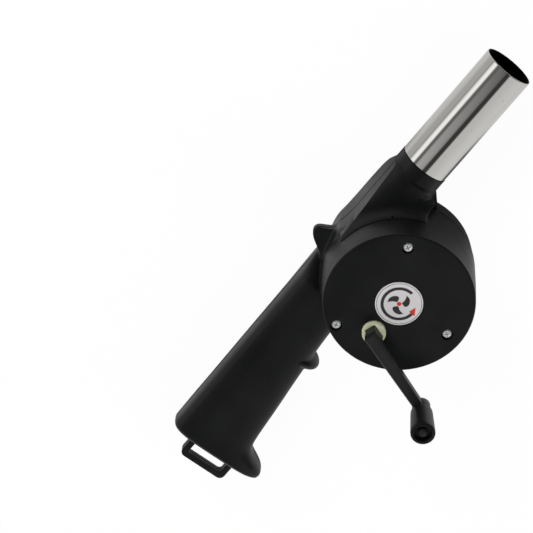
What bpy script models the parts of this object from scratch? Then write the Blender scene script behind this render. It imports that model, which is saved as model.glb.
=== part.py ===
"""Hand-cranked barbecue blower: a moulded two-part housing with a long handle, a drum with an
impeller and a tangential duct, a gear case with a train of nylon gears, a crank, and a steel tube.

It lies on its back: +Z is the side with the crank, +Y points along the tube, and the origin is
on the flat back, on the axis of the drum and the impeller. Lengths are in metres."""

import math

import bmesh
import bpy
from mathutils import Matrix, Vector

# Drum and parting plane
BACK_DEPTH = 0.0150
FRONT_HEIGHT = 0.0185
DRUM_RADIUS = 0.0380
DRUM_DRAFT = 0.0006
BACK_ROUNDING = 0.0030
WALL = 0.0022
SEAM = 0.0003
DRUM_SIDES = 48

# Gear cover, with its screws as (inset from the rim, angle)
COVER_HEIGHT = 0.0155
COVER_STEP = 0.0008
COVER_DRAFT = 0.0006
COVER_ROUNDING = 0.0008
COVER_TOP = 0.0022
COVER_WALL = 0.0016
COVER_LIP_HEIGHT = 0.0022
COVER_LIP_WIDTH = 0.0014
COVER_LIP_CLEARANCE = 0.0003
COVER_SCREWS = ((0.0077, 120.3), (0.0050, 239.5), (0.0085, 2.0))
LABEL_MARGIN = 0.0019
LABEL_THICKNESS = 0.0004
LABEL_RECESS = 0.0004

# Screws of both kinds
SCREW_RADIUS = 0.00145
SCREW_HOLE_CLEARANCE = 0.0002
HEAD_RADIUS = 0.0024
HEAD_HEIGHT = 0.0019
HEAD_SEAT_GAP = 0.0002
COUNTERBORE_CLEARANCE = 0.0005
COVER_SCREW_LENGTH = 0.0100
COVER_HEAD_DEPTH = 0.0026
COVER_SEAT_THICKNESS = 0.0020
COVER_BOSS_RADIUS = 0.0028
COVER_SLEEVE_RADIUS = 0.0038
BODY_SCREW_LENGTH = 0.0160
BODY_BOSS_RADIUS = 0.0034
HANDLE_HEAD_DEPTH = 0.0070
DRUM_HEAD_DEPTH = 0.0026
DRUM_BOSS_RADIUS = 0.0031
DRUM_BOSS_INSET = 0.0050
DRUM_BOSS_ANGLES = (38.0, 100.0, 322.0)
HANDLE_SCREWS = ((-0.0170, -0.1200), (-0.0195, -0.0780), (-0.0265, -0.0360))

# Outlet: collar, spigot and tube
TUBE_RADIUS = 0.0125
TUBE_WALL = 0.0006
TUBE_LENGTH = 0.0626
COLLAR_END = 0.0533
COLLAR_LENGTH = 0.0072
COLLAR_STEP = 0.0001
SPIGOT_LENGTH = 0.0160
SPIGOT_WALL = 0.0018
SPIGOT_CLEARANCE = 0.0002
TUBE_SIDES = 32

# Duct between drum and collar, as (y, left side from the drum's side, right side, front height,
# rise of the back, squareness in front, squareness behind)
DUCT_LEFT = 0.0012
DUCT_SECTIONS = (
    (-0.0100, 0.0018, -0.0120, 0.0118, 0.0, 4.0, 4.5),
    (0.0040, -0.0006, -0.0118, 0.0128, 0.0, 6.0, 6.0),
    (0.0190, -0.0005, -0.0122, 0.0132, 0.0, 5.0, 6.0),
    (0.0340, -0.0004, -0.0130, 0.0128, 0.0002, 3.2, 6.0),
    (0.0405, -0.0003, -0.0136, 0.0124, 0.0006, 2.6, 5.0),
    (0.0440, -0.0003, -0.0140, 0.0120, 0.0015, 2.3, 3.5),
    (0.0470, -0.0003, -0.0142, 0.0118, 0.0028, 2.1, 2.2),
)
WEB_THICKNESS = 0.0030

# Handle: its two edges in the parting plane as (y, x), and its depth at its two ends
HANDLE_FRONT_HEIGHT = 0.0125
HANDLE_BACK_DEPTH = 0.0125
HANDLE_SQUARENESS = 2.5
HANDLE_END = -0.1404
HANDLE_BACK_EDGE = (
    (-0.1404, -0.0250),
    (-0.1392, -0.0312),
    (-0.1370, -0.0355),
    (-0.1345, -0.0370),
    (-0.0900, -0.0358),
    (-0.0450, -0.0347),
    (0.0045, -0.0352),
)
HANDLE_FRONT_EDGE = (
    (-0.1404, -0.0030),
    (-0.1394, 0.0015),
    (-0.1380, 0.0068),
    (-0.1355, 0.0128),
    (-0.1334, 0.0139),
    (-0.1312, 0.0136),
    (-0.1290, 0.0108),
    (-0.1265, 0.0062),
    (-0.1235, 0.0020),
    (-0.1180, 0.0000),
    (-0.0850, -0.0032),
    (-0.0450, -0.0062),
    (0.0045, -0.0100),
)
HANDLE_END_ROUNDING = 0.0050
HANDLE_SIDES = 16
CORE_SIDES = 12
NUB_CENTRE = (-0.0078, -0.0648)
NUB_RADII = (0.0080, 0.0038, 0.0100)

# Thumb horn: a thin fin beside the drum, with its outline, its depth under the parting plane, and
# its height over that plane at the tip and at the drum's wall
HORN_OUTLINE = (
    (-0.0340, 0.0065),
    (-0.0380, 0.0065),
    (-0.0392, 0.0006),
    (-0.0405, -0.0010),
    (-0.0450, -0.0036),
    (-0.0464, -0.0048),
    (-0.0468, -0.0063),
    (-0.0464, -0.0079),
    (-0.0454, -0.0093),
    (-0.0436, -0.0108),
    (-0.0378, -0.0142),
    (-0.0350, -0.0165),
    (-0.0320, -0.0165),
)
HORN_DEPTH = 0.0036
HORN_TIP_HEIGHT = 0.0010
HORN_ROOT_HEIGHT = 0.0032

# Hanging loop below the handle
LOOP_LEFT = -0.0240
LOOP_RIGHT = 0.0011
LOOP_END = -0.1500
LOOP_BAR = 0.0034
LOOP_THICKNESS = 0.0048
LOOP_CORNER = 0.0028

# Air inlet in the back
INLET_HUB_RADIUS = 0.0080
INLET_RINGS = 3
INLET_SPOKES = 6
INLET_SLOT = 0.0034
INLET_PITCH = 0.0062
INLET_SPOKE_WIDTH = 0.0028
INLET_TURN = 3.7

# Impeller and its shaft
SHAFT_RADIUS = 0.0015
RUNNING_CLEARANCE = 0.0001
PRESS_CLEARANCE = 0.0001
SHAFT_BACK_WALL = 0.0014
BEARING_RADIUS = 0.0040
BACK_BEARING_HEIGHT = 0.0038
FRONT_BEARING_HEIGHT = 0.0026
IMPELLER_GAP = 0.0070
IMPELLER_DISC = 0.0014
IMPELLER_HUB_RADIUS = 0.0046
IMPELLER_VANES = 8
VANE_HEIGHT = 0.0190
VANE_THICKNESS = 0.0013
VANE_INNER_RADIUS = 0.0075
VANE_SWEEP = 38.0
IMPELLER_END_PLAY = 0.0005

# Gears, which fill the case: its radius and the crank's offset are counted in modules
CASE_MODULES = 46.5
CRANK_OFFSET_MODULES = 24.25
PRESSURE_ANGLE = 25.0
BACKLASH = 0.00016
ADDENDUM = 0.95
DEDENDUM = 1.20
CRANK_TEETH = 32
IDLER_PINION_TEETH = 10
IDLER_TEETH = 34
FAN_TEETH = 10
FACE_WIDTH = 0.0048
GEAR_FLOOR_GAP = 0.0015
GEAR_LAYER_GAP = 0.0008
PIN_RADIUS = 0.0015
PIN_BOSS_RADIUS = 0.0030
POST_RADIUS = 0.0018
HUB_RADIUS = 0.0058
HUB_PROUD = 0.0012
HUB_CLEARANCE = 0.0002
KEY_LENGTH = 0.0066
KEY_WIDTH = 0.0047
KEY_CORNER = 0.0005
KEY_CLEARANCE = 0.00015

# Crank arm and knob
CRANK_RADIUS = 0.0434
CRANK_ANGLE = -20.0
ARM_HEIGHT = 0.0085
ARM_RISE = 0.0018
ARM_THICKNESS = 0.0058
ARM_WIDTH = 0.0050
ARM_SQUARENESS = 6.0
ARM_BOSS_RADIUS = 0.0045
ARM_BOSS_DROP = 0.0010
KNOB_LENGTH = 0.0200
KNOB_BASE_RADIUS = 0.0045
KNOB_WAIST_RADIUS = 0.0044
KNOB_END_RADIUS = 0.0060
KNOB_RECESS_RADIUS = 0.0041
KNOB_RECESS_DEPTH = 0.0042
KNOB_PIN_RADIUS = 0.0020
KNOB_CLEARANCE = 0.00015
KNOB_HEAD_RADIUS = 0.0031
KNOB_HEAD_HEIGHT = 0.0018
KNOB_END_PLAY = 0.0004

# Heights and places that follow from the sizes above
PARTING = BACK_DEPTH
COVER_SEAT = PARTING + FRONT_HEIGHT
COVER_FACE = COVER_SEAT + COVER_HEIGHT
COVER_CEILING = COVER_FACE - COVER_TOP
CHAMBER_TOP = COVER_SEAT - WALL
CHAMBER_RADIUS = DRUM_RADIUS - WALL
COVER_RADIUS = DRUM_RADIUS - COVER_STEP
IMPELLER_RADIUS = CHAMBER_RADIUS - IMPELLER_GAP
MODULE = COVER_RADIUS / CASE_MODULES
CRANK_OFFSET = CRANK_OFFSET_MODULES * MODULE
LABEL_RADIUS = CRANK_OFFSET - HUB_RADIUS - HUB_CLEARANCE - LABEL_MARGIN
COLLAR_RADIUS = TUBE_RADIUS + COLLAR_STEP
TUBE_X = -(DRUM_RADIUS + DUCT_LEFT - COLLAR_RADIUS - 0.0006)
SPIGOT_RADIUS = TUBE_RADIUS - TUBE_WALL - SPIGOT_CLEARANCE
SPIGOT_BORE = SPIGOT_RADIUS - SPIGOT_WALL
LOWER_GEARS = COVER_SEAT + GEAR_FLOOR_GAP
UPPER_GEARS = LOWER_GEARS + FACE_WIDTH + GEAR_LAYER_GAP
HUB_TOP = COVER_FACE + HUB_PROUD
ARM_START = COVER_FACE + ARM_HEIGHT
REACH = COLLAR_END + TUBE_LENGTH - LOOP_END
ROD_TURN = 0.07


def clear_scene():
    for old in list(bpy.data.objects):
        bpy.data.objects.remove(old, do_unlink=True)


def new_collection(name):
    collection = bpy.data.collections.new(name)
    bpy.context.scene.collection.children.link(collection)
    return collection


def new_material(name, colour, roughness, metallic=0.0):
    material = bpy.data.materials.new(name)
    material.use_nodes = True
    shader = material.node_tree.nodes["Principled BSDF"]
    shader.inputs["Base Color"].default_value = (*colour, 1.0)
    shader.inputs["Roughness"].default_value = roughness
    shader.inputs["Metallic"].default_value = metallic
    return material


clear_scene()
PARTS = new_collection("barbecue_blower")
CUTTERS = new_collection("cutters")


def add_object(name, mesh, cutter=True, material=None, place=(0.0, 0.0, 0.0)):
    """An object of this mesh, smooth where it is round, in the parts or among the cutters."""
    mesh.shade_smooth()
    mesh.set_sharp_from_angle(angle=math.radians(30.0))
    thing = bpy.data.objects.new(name, mesh)
    thing.location = place
    if cutter:
        CUTTERS.objects.link(thing)
        thing.hide_render = True
        thing.display_type = "WIRE"
    else:
        PARTS.objects.link(thing)
        mesh.materials.append(material)
    return thing


def finished_mesh(shape, name):
    """The bmesh written out as a mesh, with its normals facing out."""
    bmesh.ops.recalc_face_normals(shape, faces=shape.faces)
    mesh = bpy.data.meshes.new(name)
    shape.to_mesh(mesh)
    shape.free()
    return mesh


def combine(target, operation, *others):
    """One Boolean modifier on the target for each of the other objects."""
    for other in others:
        step = target.modifiers.new(f"{operation.lower()} {other.name}", "BOOLEAN")
        step.operation = operation
        step.solver = "EXACT"
        step.object = other


def add_rod(shape, x, y, low, high, radius, sides=12):
    """An upright cylinder, added to a bmesh."""
    bmesh.ops.create_cone(
        shape,
        cap_ends=True,
        segments=sides,
        radius1=radius,
        radius2=radius,
        depth=high - low,
        matrix=Matrix.Translation((x, y, (low + high) / 2)) @ Matrix.Rotation(ROD_TURN, 4, "Z"),
    )


def rods(name, places, sides=12):
    """One mesh of separate upright cylinders, each given as (x, y, low, high, radius)."""
    shape = bmesh.new()
    for x, y, low, high, radius in places:
        add_rod(shape, x, y, low, high, radius, sides)
    return add_object(name, finished_mesh(shape, name))


def stacked(name, rings, sides, **kept):
    """A solid of revolution through (radius, height) rings, bottom to top, with flat ends."""
    shape = bmesh.new()
    loops = []
    for radius, height in rings:
        points = arc(0.0, 0.0, radius, 0.0, 360.0 - 360.0 / sides, sides - 1)
        loops.append([shape.verts.new((x, y, height)) for x, y in points])
    for first, second in zip(loops, loops[1:]):
        for i in range(sides):
            j = (i + 1) % sides
            shape.faces.new((first[i], first[j], second[j], second[i]))
    shape.faces.new(loops[0])
    shape.faces.new(loops[-1])
    return add_object(name, finished_mesh(shape, name), **kept)


def rod_along_y(name, start, end, radius, sides=TUBE_SIDES):
    """A cylinder along the tube's axis."""
    shape = bmesh.new()
    add_rod(shape, 0.0, 0.0, -(end - start) / 2, (end - start) / 2, radius, sides)
    turn = Matrix.Rotation(math.radians(-90.0), 4, "X")
    bmesh.ops.transform(
        shape,
        matrix=Matrix.Translation((TUBE_X, (start + end) / 2, PARTING)) @ turn,
        verts=shape.verts,
    )
    return add_object(name, finished_mesh(shape, name))


def block(name, low, high):
    """A box between two corners."""
    shape = bmesh.new()
    bmesh.ops.create_cube(shape, size=1.0)
    size = Vector(high) - Vector(low)
    centre = (Vector(high) + Vector(low)) / 2
    bmesh.ops.transform(
        shape,
        matrix=Matrix.Translation(centre) @ Matrix.Diagonal((*size, 1.0)),
        verts=shape.verts,
    )
    return add_object(name, finished_mesh(shape, name))


def flat_prism(name, outlines, low, high, **kept):
    """Flat closed outlines with straight sides between two heights, made from a filled 2D curve."""
    curve = bpy.data.curves.new(name, "CURVE")
    curve.dimensions = "2D"
    curve.fill_mode = "BOTH"
    curve.extrude = (high - low) / 2
    for outline in outlines:
        line = curve.splines.new("POLY")
        line.points.add(len(outline) - 1)
        for point, (x, y) in zip(line.points, outline):
            point.co = (x, y, 0.0, 1.0)
        line.use_cyclic_u = True
    guide = bpy.data.objects.new(name + "_outline", curve)
    CUTTERS.objects.link(guide)
    bpy.context.view_layer.update()
    graph = bpy.context.evaluated_depsgraph_get()
    flat = bpy.data.meshes.new_from_object(guide.evaluated_get(graph))
    bpy.data.objects.remove(guide, do_unlink=True)
    shape = bmesh.new()
    shape.from_mesh(flat)
    bpy.data.meshes.remove(flat)
    bmesh.ops.remove_doubles(shape, verts=shape.verts, dist=1e-6)
    bmesh.ops.dissolve_limit(shape, angle_limit=0.01, verts=shape.verts, edges=shape.edges)
    bmesh.ops.translate(shape, verts=shape.verts, vec=(0.0, 0.0, (low + high) / 2))
    return add_object(name, finished_mesh(shape, name), **kept)


def turned(name, profile, steps, place=(0.0, 0.0, 0.0), closed=False, **kept):
    """A profile of (radius, height) points, top to bottom on its outer side, turned about Z."""
    mesh = bpy.data.meshes.new(name)
    edges = [(i, i + 1) for i in range(len(profile) - 1)]
    if closed:
        edges.append((len(profile) - 1, 0))
    mesh.from_pydata([(radius, 0.0, height) for radius, height in profile], edges, [])
    thing = add_object(name, mesh, place=place, **kept)
    screw = thing.modifiers.new("turn", "SCREW")
    screw.steps = steps
    screw.render_steps = steps
    screw.use_smooth_shade = True
    screw.use_merge_vertices = True
    screw.merge_threshold = 1e-6
    return thing


def arc(cx, cy, radius, start, end, count):
    """Points along an arc, its ends included, with angles in degrees."""
    return [
        (
            cx + radius * math.cos(math.radians(start + (end - start) * i / count)),
            cy + radius * math.sin(math.radians(start + (end - start) * i / count)),
        )
        for i in range(count + 1)
    ]


def eased(keys, place):
    """The value at a place between keys of (place, value), smooth and without overshoot."""
    if place <= keys[0][0]:
        return keys[0][1]
    if place >= keys[-1][0]:
        return keys[-1][1]
    widths = [b[0] - a[0] for a, b in zip(keys, keys[1:])]
    slopes = [(b[1] - a[1]) / w for a, b, w in zip(keys, keys[1:], widths)]
    i = max(k for k in range(len(widths)) if keys[k][0] <= place)

    def tangent(k):
        if k == 0 or k == len(widths):
            return slopes[min(k, len(slopes) - 1)]
        before, after = slopes[k - 1], slopes[k]
        if before * after <= 0:
            return 0.0
        return 2 * before * after / (before + after)

    t = (place - keys[i][0]) / widths[i]
    rise = keys[i + 1][1] - keys[i][1]
    start, end = tangent(i) * widths[i], tangent(i + 1) * widths[i]
    bend = (3 * t * t - 2 * t**3) * rise
    return keys[i][1] + bend + (t**3 - 2 * t * t + t) * start + (t**3 - t * t) * end


def rounded_section(left, right, up, down, squareness, squareness_below, sides):
    """Points of a rounded section about z = 0, with a height and squareness above and below."""
    centre, half = (left + right) / 2, (right - left) / 2
    points = []
    for i in range(sides):
        turn = 2 * math.pi * i / sides
        cosine, sine = math.cos(turn), math.sin(turn)
        power = 2 / (squareness if sine > 0 else squareness_below)
        x = centre + half * math.copysign(abs(cosine) ** power, cosine)
        z = math.copysign(abs(sine) ** power, sine)
        points.append((x, z * (up if sine > 0 else down)))
    return points


def loft(name, sections, sides, **kept):
    """A closed skin through sections about the parting, each a y and a rounded section's sizes."""
    shape = bmesh.new()
    loops = []
    for y, *sizes in sections:
        loops.append([shape.verts.new((x, y, z)) for x, z in rounded_section(*sizes, sides)])
    for first, second in zip(loops, loops[1:]):
        for i in range(sides):
            j = (i + 1) % sides
            shape.faces.new((first[i], first[j], second[j], second[i]))
    shape.faces.new(loops[0])
    shape.faces.new(loops[-1])
    bmesh.ops.recalc_face_normals(shape, faces=shape.faces)
    bmesh.ops.triangulate(shape, faces=shape.faces)
    return add_object(name, finished_mesh(shape, name), **kept)


def places_between(keys, most):
    """The keys' places with further ones between them, no two more than this apart."""
    places = [keys[0]]
    for place in keys[1:]:
        count = max(1, math.ceil((place - places[-1]) / most))
        start = places[-1]
        places += [start + (place - start) * (i + 1) / count for i in range(count)]
    return places


def handle_sections(inset, start, end, spacing):
    """Sections of the handle, or of its hollow where inset is the wall."""
    keys = sorted({y for y, x in HANDLE_BACK_EDGE} | {y for y, x in HANDLE_FRONT_EDGE})
    keys = [] if inset else [y for y in keys if start < y < end]
    sections = []
    for y in places_between([start, *keys, end], spacing):
        left = eased(HANDLE_BACK_EDGE, y) + inset
        right = eased(HANDLE_FRONT_EDGE, y)
        if inset:
            right = min(right, eased(((HANDLE_END, 0.0010), (0.0, -0.0080)), y)) - inset
        near_end = max(0.0, 1 - (y - HANDLE_END) / HANDLE_END_ROUNDING)
        share = 1 - 0.55 * near_end**2
        up = (HANDLE_FRONT_HEIGHT - inset) * share
        down = (HANDLE_BACK_DEPTH - inset) * share
        sections.append((y, left, right, up, down, HANDLE_SQUARENESS, HANDLE_SQUARENESS))
    return sections


def duct_sections(inset, spacing):
    """Sections of the duct from the drum to the collar, or of the air path inside it."""
    keys = [section[0] for section in DUCT_SECTIONS]
    sections = []
    for y in places_between(keys, spacing):
        at = [
            eased([(section[0], section[k]) for section in DUCT_SECTIONS], y) for k in range(1, 7)
        ]
        left = at[0] - DRUM_RADIUS + inset
        right = at[1] - inset
        up = at[2] - inset
        down = BACK_DEPTH - at[3] - inset
        sections.append((y, left, right, up, down, at[4], at[5]))
    return sections


def raise_to_parting(thing):
    thing.location.z = PARTING
    return thing


def polar(radius, angle):
    turn = math.radians(angle)
    return radius * math.cos(turn), radius * math.sin(turn)


BLACK = new_material("satin black plastic", (0.012, 0.012, 0.013), 0.42)
STEEL = new_material("polished stainless steel", (0.72, 0.73, 0.74), 0.12, 1.0)
PIN_STEEL = new_material("bright steel", (0.6, 0.6, 0.6), 0.25, 1.0)
ZINC = new_material("zinc plated steel", (0.62, 0.63, 0.64), 0.32, 1.0)
NYLON = new_material("cream nylon", (0.62, 0.6, 0.45), 0.4)
LABEL = new_material("label", (0.72, 0.7, 0.7), 0.35)

COVER_SCREW_PLACES = [polar(COVER_RADIUS - inset, angle) for inset, angle in COVER_SCREWS]
DRUM_SCREW_PLACES = [polar(DRUM_RADIUS - DRUM_BOSS_INSET, angle) for angle in DRUM_BOSS_ANGLES]
BODY_SCREWS = [(*place, HANDLE_HEAD_DEPTH) for place in HANDLE_SCREWS]
BODY_SCREWS += [(*place, DRUM_HEAD_DEPTH) for place in DRUM_SCREW_PLACES]


def housing_outside():
    """The whole housing as one solid: drum, duct, web, collar, spigot, handle, horn, nub and loop."""
    back_edge = DRUM_RADIUS - DRUM_DRAFT
    rings = arc(back_edge - BACK_ROUNDING, BACK_ROUNDING, BACK_ROUNDING, -90, 0, 3)
    rings += [(DRUM_RADIUS, PARTING), (DRUM_RADIUS - DRUM_DRAFT, COVER_SEAT - SEAM / 2)]
    drum = stacked("drum_outside", rings, DRUM_SIDES)
    duct = raise_to_parting(loft("duct_outside", duct_sections(0.0, 0.009), HANDLE_SIDES))
    collar = rod_along_y("collar", COLLAR_END - COLLAR_LENGTH, COLLAR_END, COLLAR_RADIUS)
    spigot = rod_along_y("spigot", COLLAR_END - 0.002, COLLAR_END + SPIGOT_LENGTH, SPIGOT_RADIUS)
    handle = raise_to_parting(
        loft("handle_outside", handle_sections(0.0, HANDLE_END, 0.0045, 0.012), HANDLE_SIDES)
    )
    shape = bmesh.new()
    bmesh.ops.create_uvsphere(shape, u_segments=20, v_segments=12, radius=1.0)
    bmesh.ops.scale(shape, vec=NUB_RADII, verts=shape.verts)
    nub = add_object("nub", finished_mesh(shape, "nub"), place=(*NUB_CENTRE, PARTING))
    web_edge = TUBE_X + COLLAR_RADIUS
    web = flat_prism(
        "web",
        [[
            (web_edge - 0.004, COLLAR_END - COLLAR_LENGTH - 0.001),
            (web_edge + 0.0008, COLLAR_END - COLLAR_LENGTH - 0.0003),
            (-0.0052, math.sqrt(DRUM_RADIUS**2 - 0.0052**2) + 0.0002),
            (-0.0052, DRUM_RADIUS - 0.004),
            (web_edge - 0.004, DRUM_RADIUS - 0.006),
        ]],
        PARTING - WEB_THICKNESS / 2,
        PARTING + WEB_THICKNESS / 2,
    )
    combine(drum, "UNION", duct, collar, spigot, handle, nub, web, thumb_horn(), hanging_loop())
    return drum


def thumb_horn():
    """The fin beside the drum, with its top sloping up from its tip to the drum's wall."""
    horn = flat_prism("horn", [HORN_OUTLINE], PARTING - HORN_DEPTH, PARTING + HORN_TIP_HEIGHT)
    tip = min(x for x, y in HORN_OUTLINE)
    slope = (HORN_ROOT_HEIGHT - HORN_TIP_HEIGHT) / (-DRUM_RADIUS - tip)
    for corner in horn.data.vertices:
        if corner.co.z > PARTING:
            corner.co.z += slope * (corner.co.x - tip)
    return horn


def rounded_box(left, right, low, high, corner, steps=4):
    """A rectangle with round corners, anticlockwise."""
    return (
        arc(right - corner, high - corner, corner, 0, 90, steps)
        + arc(left + corner, high - corner, corner, 90, 180, steps)
        + arc(left + corner, low + corner, corner, 180, 270, steps)
        + arc(right - corner, low + corner, corner, 270, 360, steps)
    )


def hanging_loop():
    """The flat loop that sticks out of the handle's end, its root buried in the handle."""
    root = HANDLE_END + 0.006
    outer = rounded_box(LOOP_LEFT, LOOP_RIGHT, LOOP_END, root, LOOP_CORNER)
    inner = rounded_box(
        LOOP_LEFT + LOOP_BAR,
        LOOP_RIGHT - LOOP_BAR,
        LOOP_END + LOOP_BAR,
        root - LOOP_BAR / 2,
        LOOP_CORNER * 0.6,
    )
    half = LOOP_THICKNESS / 2
    return flat_prism("loop", [outer, inner], PARTING - half, PARTING + half)


def air_way():
    """The open space inside: impeller chamber, duct and spigot, less the bosses that stand in it."""
    columns = rods(
        "chamber_columns",
        [(x, y, -REACH / 10, COVER_FACE, DRUM_BOSS_RADIUS) for x, y in DRUM_SCREW_PLACES],
    )
    bearings = rods(
        "bearing_bosses",
        [
            (0.0, 0.0, -0.005, WALL + BACK_BEARING_HEIGHT, BEARING_RADIUS),
            (0.0, 0.0, CHAMBER_TOP - FRONT_BEARING_HEIGHT, COVER_FACE, BEARING_RADIUS),
        ],
    )
    chamber = rods("chamber", [(0.0, 0.0, WALL, CHAMBER_TOP, CHAMBER_RADIUS)], DRUM_SIDES)
    path = raise_to_parting(loft("duct_inside", duct_sections(WALL, 0.016), CORE_SIDES))
    start = COLLAR_END - COLLAR_LENGTH - 0.003
    bore = rod_along_y("spigot_bore", start, COLLAR_END + SPIGOT_LENGTH + 0.005, SPIGOT_BORE)
    combine(chamber, "UNION", path, bore)
    combine(chamber, "DIFFERENCE", columns, bearings)
    return chamber


def handle_hollow():
    """The space inside the handle, less its screw bosses and the drum's own wall."""
    start, end = HANDLE_END + 0.6 * HANDLE_END_ROUNDING, -0.0175
    hollow = raise_to_parting(
        loft("handle_inside", handle_sections(WALL, start, end, 0.022), CORE_SIDES)
    )
    columns = rods(
        "handle_columns", [(x, y, 0.0, COVER_FACE, BODY_BOSS_RADIUS + 0.0006) for x, y in HANDLE_SCREWS]
    )
    drum_wall = rods("drum_wall", [(0.0, 0.0, -0.005, COVER_FACE, DRUM_RADIUS)], DRUM_SIDES)
    combine(hollow, "DIFFERENCE", columns, drum_wall)
    return hollow


def front_shell(outside, air, hollow):
    shell = block("front_shell", (-REACH, -REACH, PARTING + SEAM / 2), (REACH, REACH, REACH))
    CUTTERS.objects.unlink(shell)
    PARTS.objects.link(shell)
    shell.hide_render = False
    shell.display_type = "TEXTURED"
    shell.data.materials.append(BLACK)
    combine(shell, "INTERSECT", outside)
    combine(shell, "DIFFERENCE", air, hollow)
    lip_radius = COVER_RADIUS - COVER_WALL - COVER_LIP_CLEARANCE
    seat = COVER_SEAT - SEAM / 2
    lip = turned(
        "cover_lip",
        [
            (lip_radius, seat + COVER_LIP_HEIGHT),
            (lip_radius, seat - WALL / 2),
            (lip_radius - COVER_LIP_WIDTH, seat - WALL / 2),
            (lip_radius - COVER_LIP_WIDTH, seat + COVER_LIP_HEIGHT),
        ],
        DRUM_SIDES,
        closed=True,
    )
    boss_top = COVER_FACE - COVER_HEAD_DEPTH - COVER_SEAT_THICKNESS - SEAM
    posts = [(x, y, seat - WALL / 2, boss_top, COVER_BOSS_RADIUS) for x, y in COVER_SCREW_PLACES]
    posts.append((*idler_place(), seat - WALL / 2, LOWER_GEARS - SEAM, PIN_BOSS_RADIUS))
    posts.append((0.0, 0.0, seat - WALL / 2, LOWER_GEARS - SEAM, PIN_BOSS_RADIUS))
    posts.append((0.0, -CRANK_OFFSET, seat - WALL / 2, LOWER_GEARS - SEAM, PIN_BOSS_RADIUS - 0.0007))
    pivot_top = UPPER_GEARS + FACE_WIDTH - 0.0008
    pivot = rods("crank_pivot", [(0.0, -CRANK_OFFSET, seat - WALL / 2, pivot_top, POST_RADIUS)])
    combine(shell, "UNION", lip, rods("front_posts", posts), pivot)
    screw_hole = SCREW_RADIUS + SCREW_HOLE_CLEARANCE
    pilots = [
        (x, y, PARTING - 0.001, depth - HEAD_SEAT_GAP + BODY_SCREW_LENGTH + 0.001, screw_hole)
        for x, y, depth in BODY_SCREWS
    ]
    pilots += [(x, y, cover_screw_tip() - 0.0006, COVER_FACE, screw_hole) for x, y in COVER_SCREW_PLACES]
    pilots.append((0.0, 0.0, PARTING, COVER_FACE, SHAFT_RADIUS + RUNNING_CLEARANCE))
    pilots.append((*idler_place(), seat - WALL + 0.0008, COVER_FACE, PIN_RADIUS + PRESS_CLEARANCE))
    combine(shell, "DIFFERENCE", rods("front_holes", pilots))
    return shell


def cover_screw_tip():
    """The lower end of a cover screw."""
    return COVER_FACE - COVER_HEAD_DEPTH + HEAD_SEAT_GAP - COVER_SCREW_LENGTH


def inlet_slots():
    """Ring-shaped slots round the back bearing, broken by spokes."""
    outlines = []
    for ring in range(INLET_RINGS):
        inner = INLET_HUB_RADIUS + ring * INLET_PITCH
        outer = inner + INLET_SLOT
        for spoke in range(INLET_SPOKES):
            middle = INLET_TURN + 360 * (spoke + 0.5 * (ring % 2)) / INLET_SPOKES
            half_pitch = 180 / INLET_SPOKES
            cut_outer = math.degrees(math.asin(INLET_SPOKE_WIDTH / 2 / outer))
            cut_inner = math.degrees(math.asin(INLET_SPOKE_WIDTH / 2 / inner))
            count = 2 + ring
            outlines.append(
                arc(0, 0, outer, middle - half_pitch + cut_outer, middle + half_pitch - cut_outer, count)
                + arc(0, 0, inner, middle + half_pitch - cut_inner, middle - half_pitch + cut_inner, count)
            )
    return flat_prism("inlet_slots", outlines, -0.002, WALL + 0.001)


def back_shell(outside, air, hollow):
    shell = block("back_shell", (-REACH, -REACH, -REACH), (REACH, REACH, PARTING - SEAM / 2))
    CUTTERS.objects.unlink(shell)
    PARTS.objects.link(shell)
    shell.hide_render = False
    shell.display_type = "TEXTURED"
    shell.data.materials.append(BLACK)
    combine(shell, "INTERSECT", outside)
    combine(shell, "DIFFERENCE", air, hollow)
    holes = [
        (x, y, depth - 0.0005, PARTING + 0.001, SCREW_RADIUS + SCREW_HOLE_CLEARANCE)
        for x, y, depth in BODY_SCREWS
    ]
    holes.append((0.0, 0.0, SHAFT_BACK_WALL, PARTING, SHAFT_RADIUS + RUNNING_CLEARANCE))
    sinks = [(x, y, -0.002, depth, HEAD_RADIUS + COUNTERBORE_CLEARANCE) for x, y, depth in BODY_SCREWS]
    combine(shell, "DIFFERENCE", inlet_slots(), rods("back_holes", holes), rods("back_sinks", sinks))
    return shell


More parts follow.
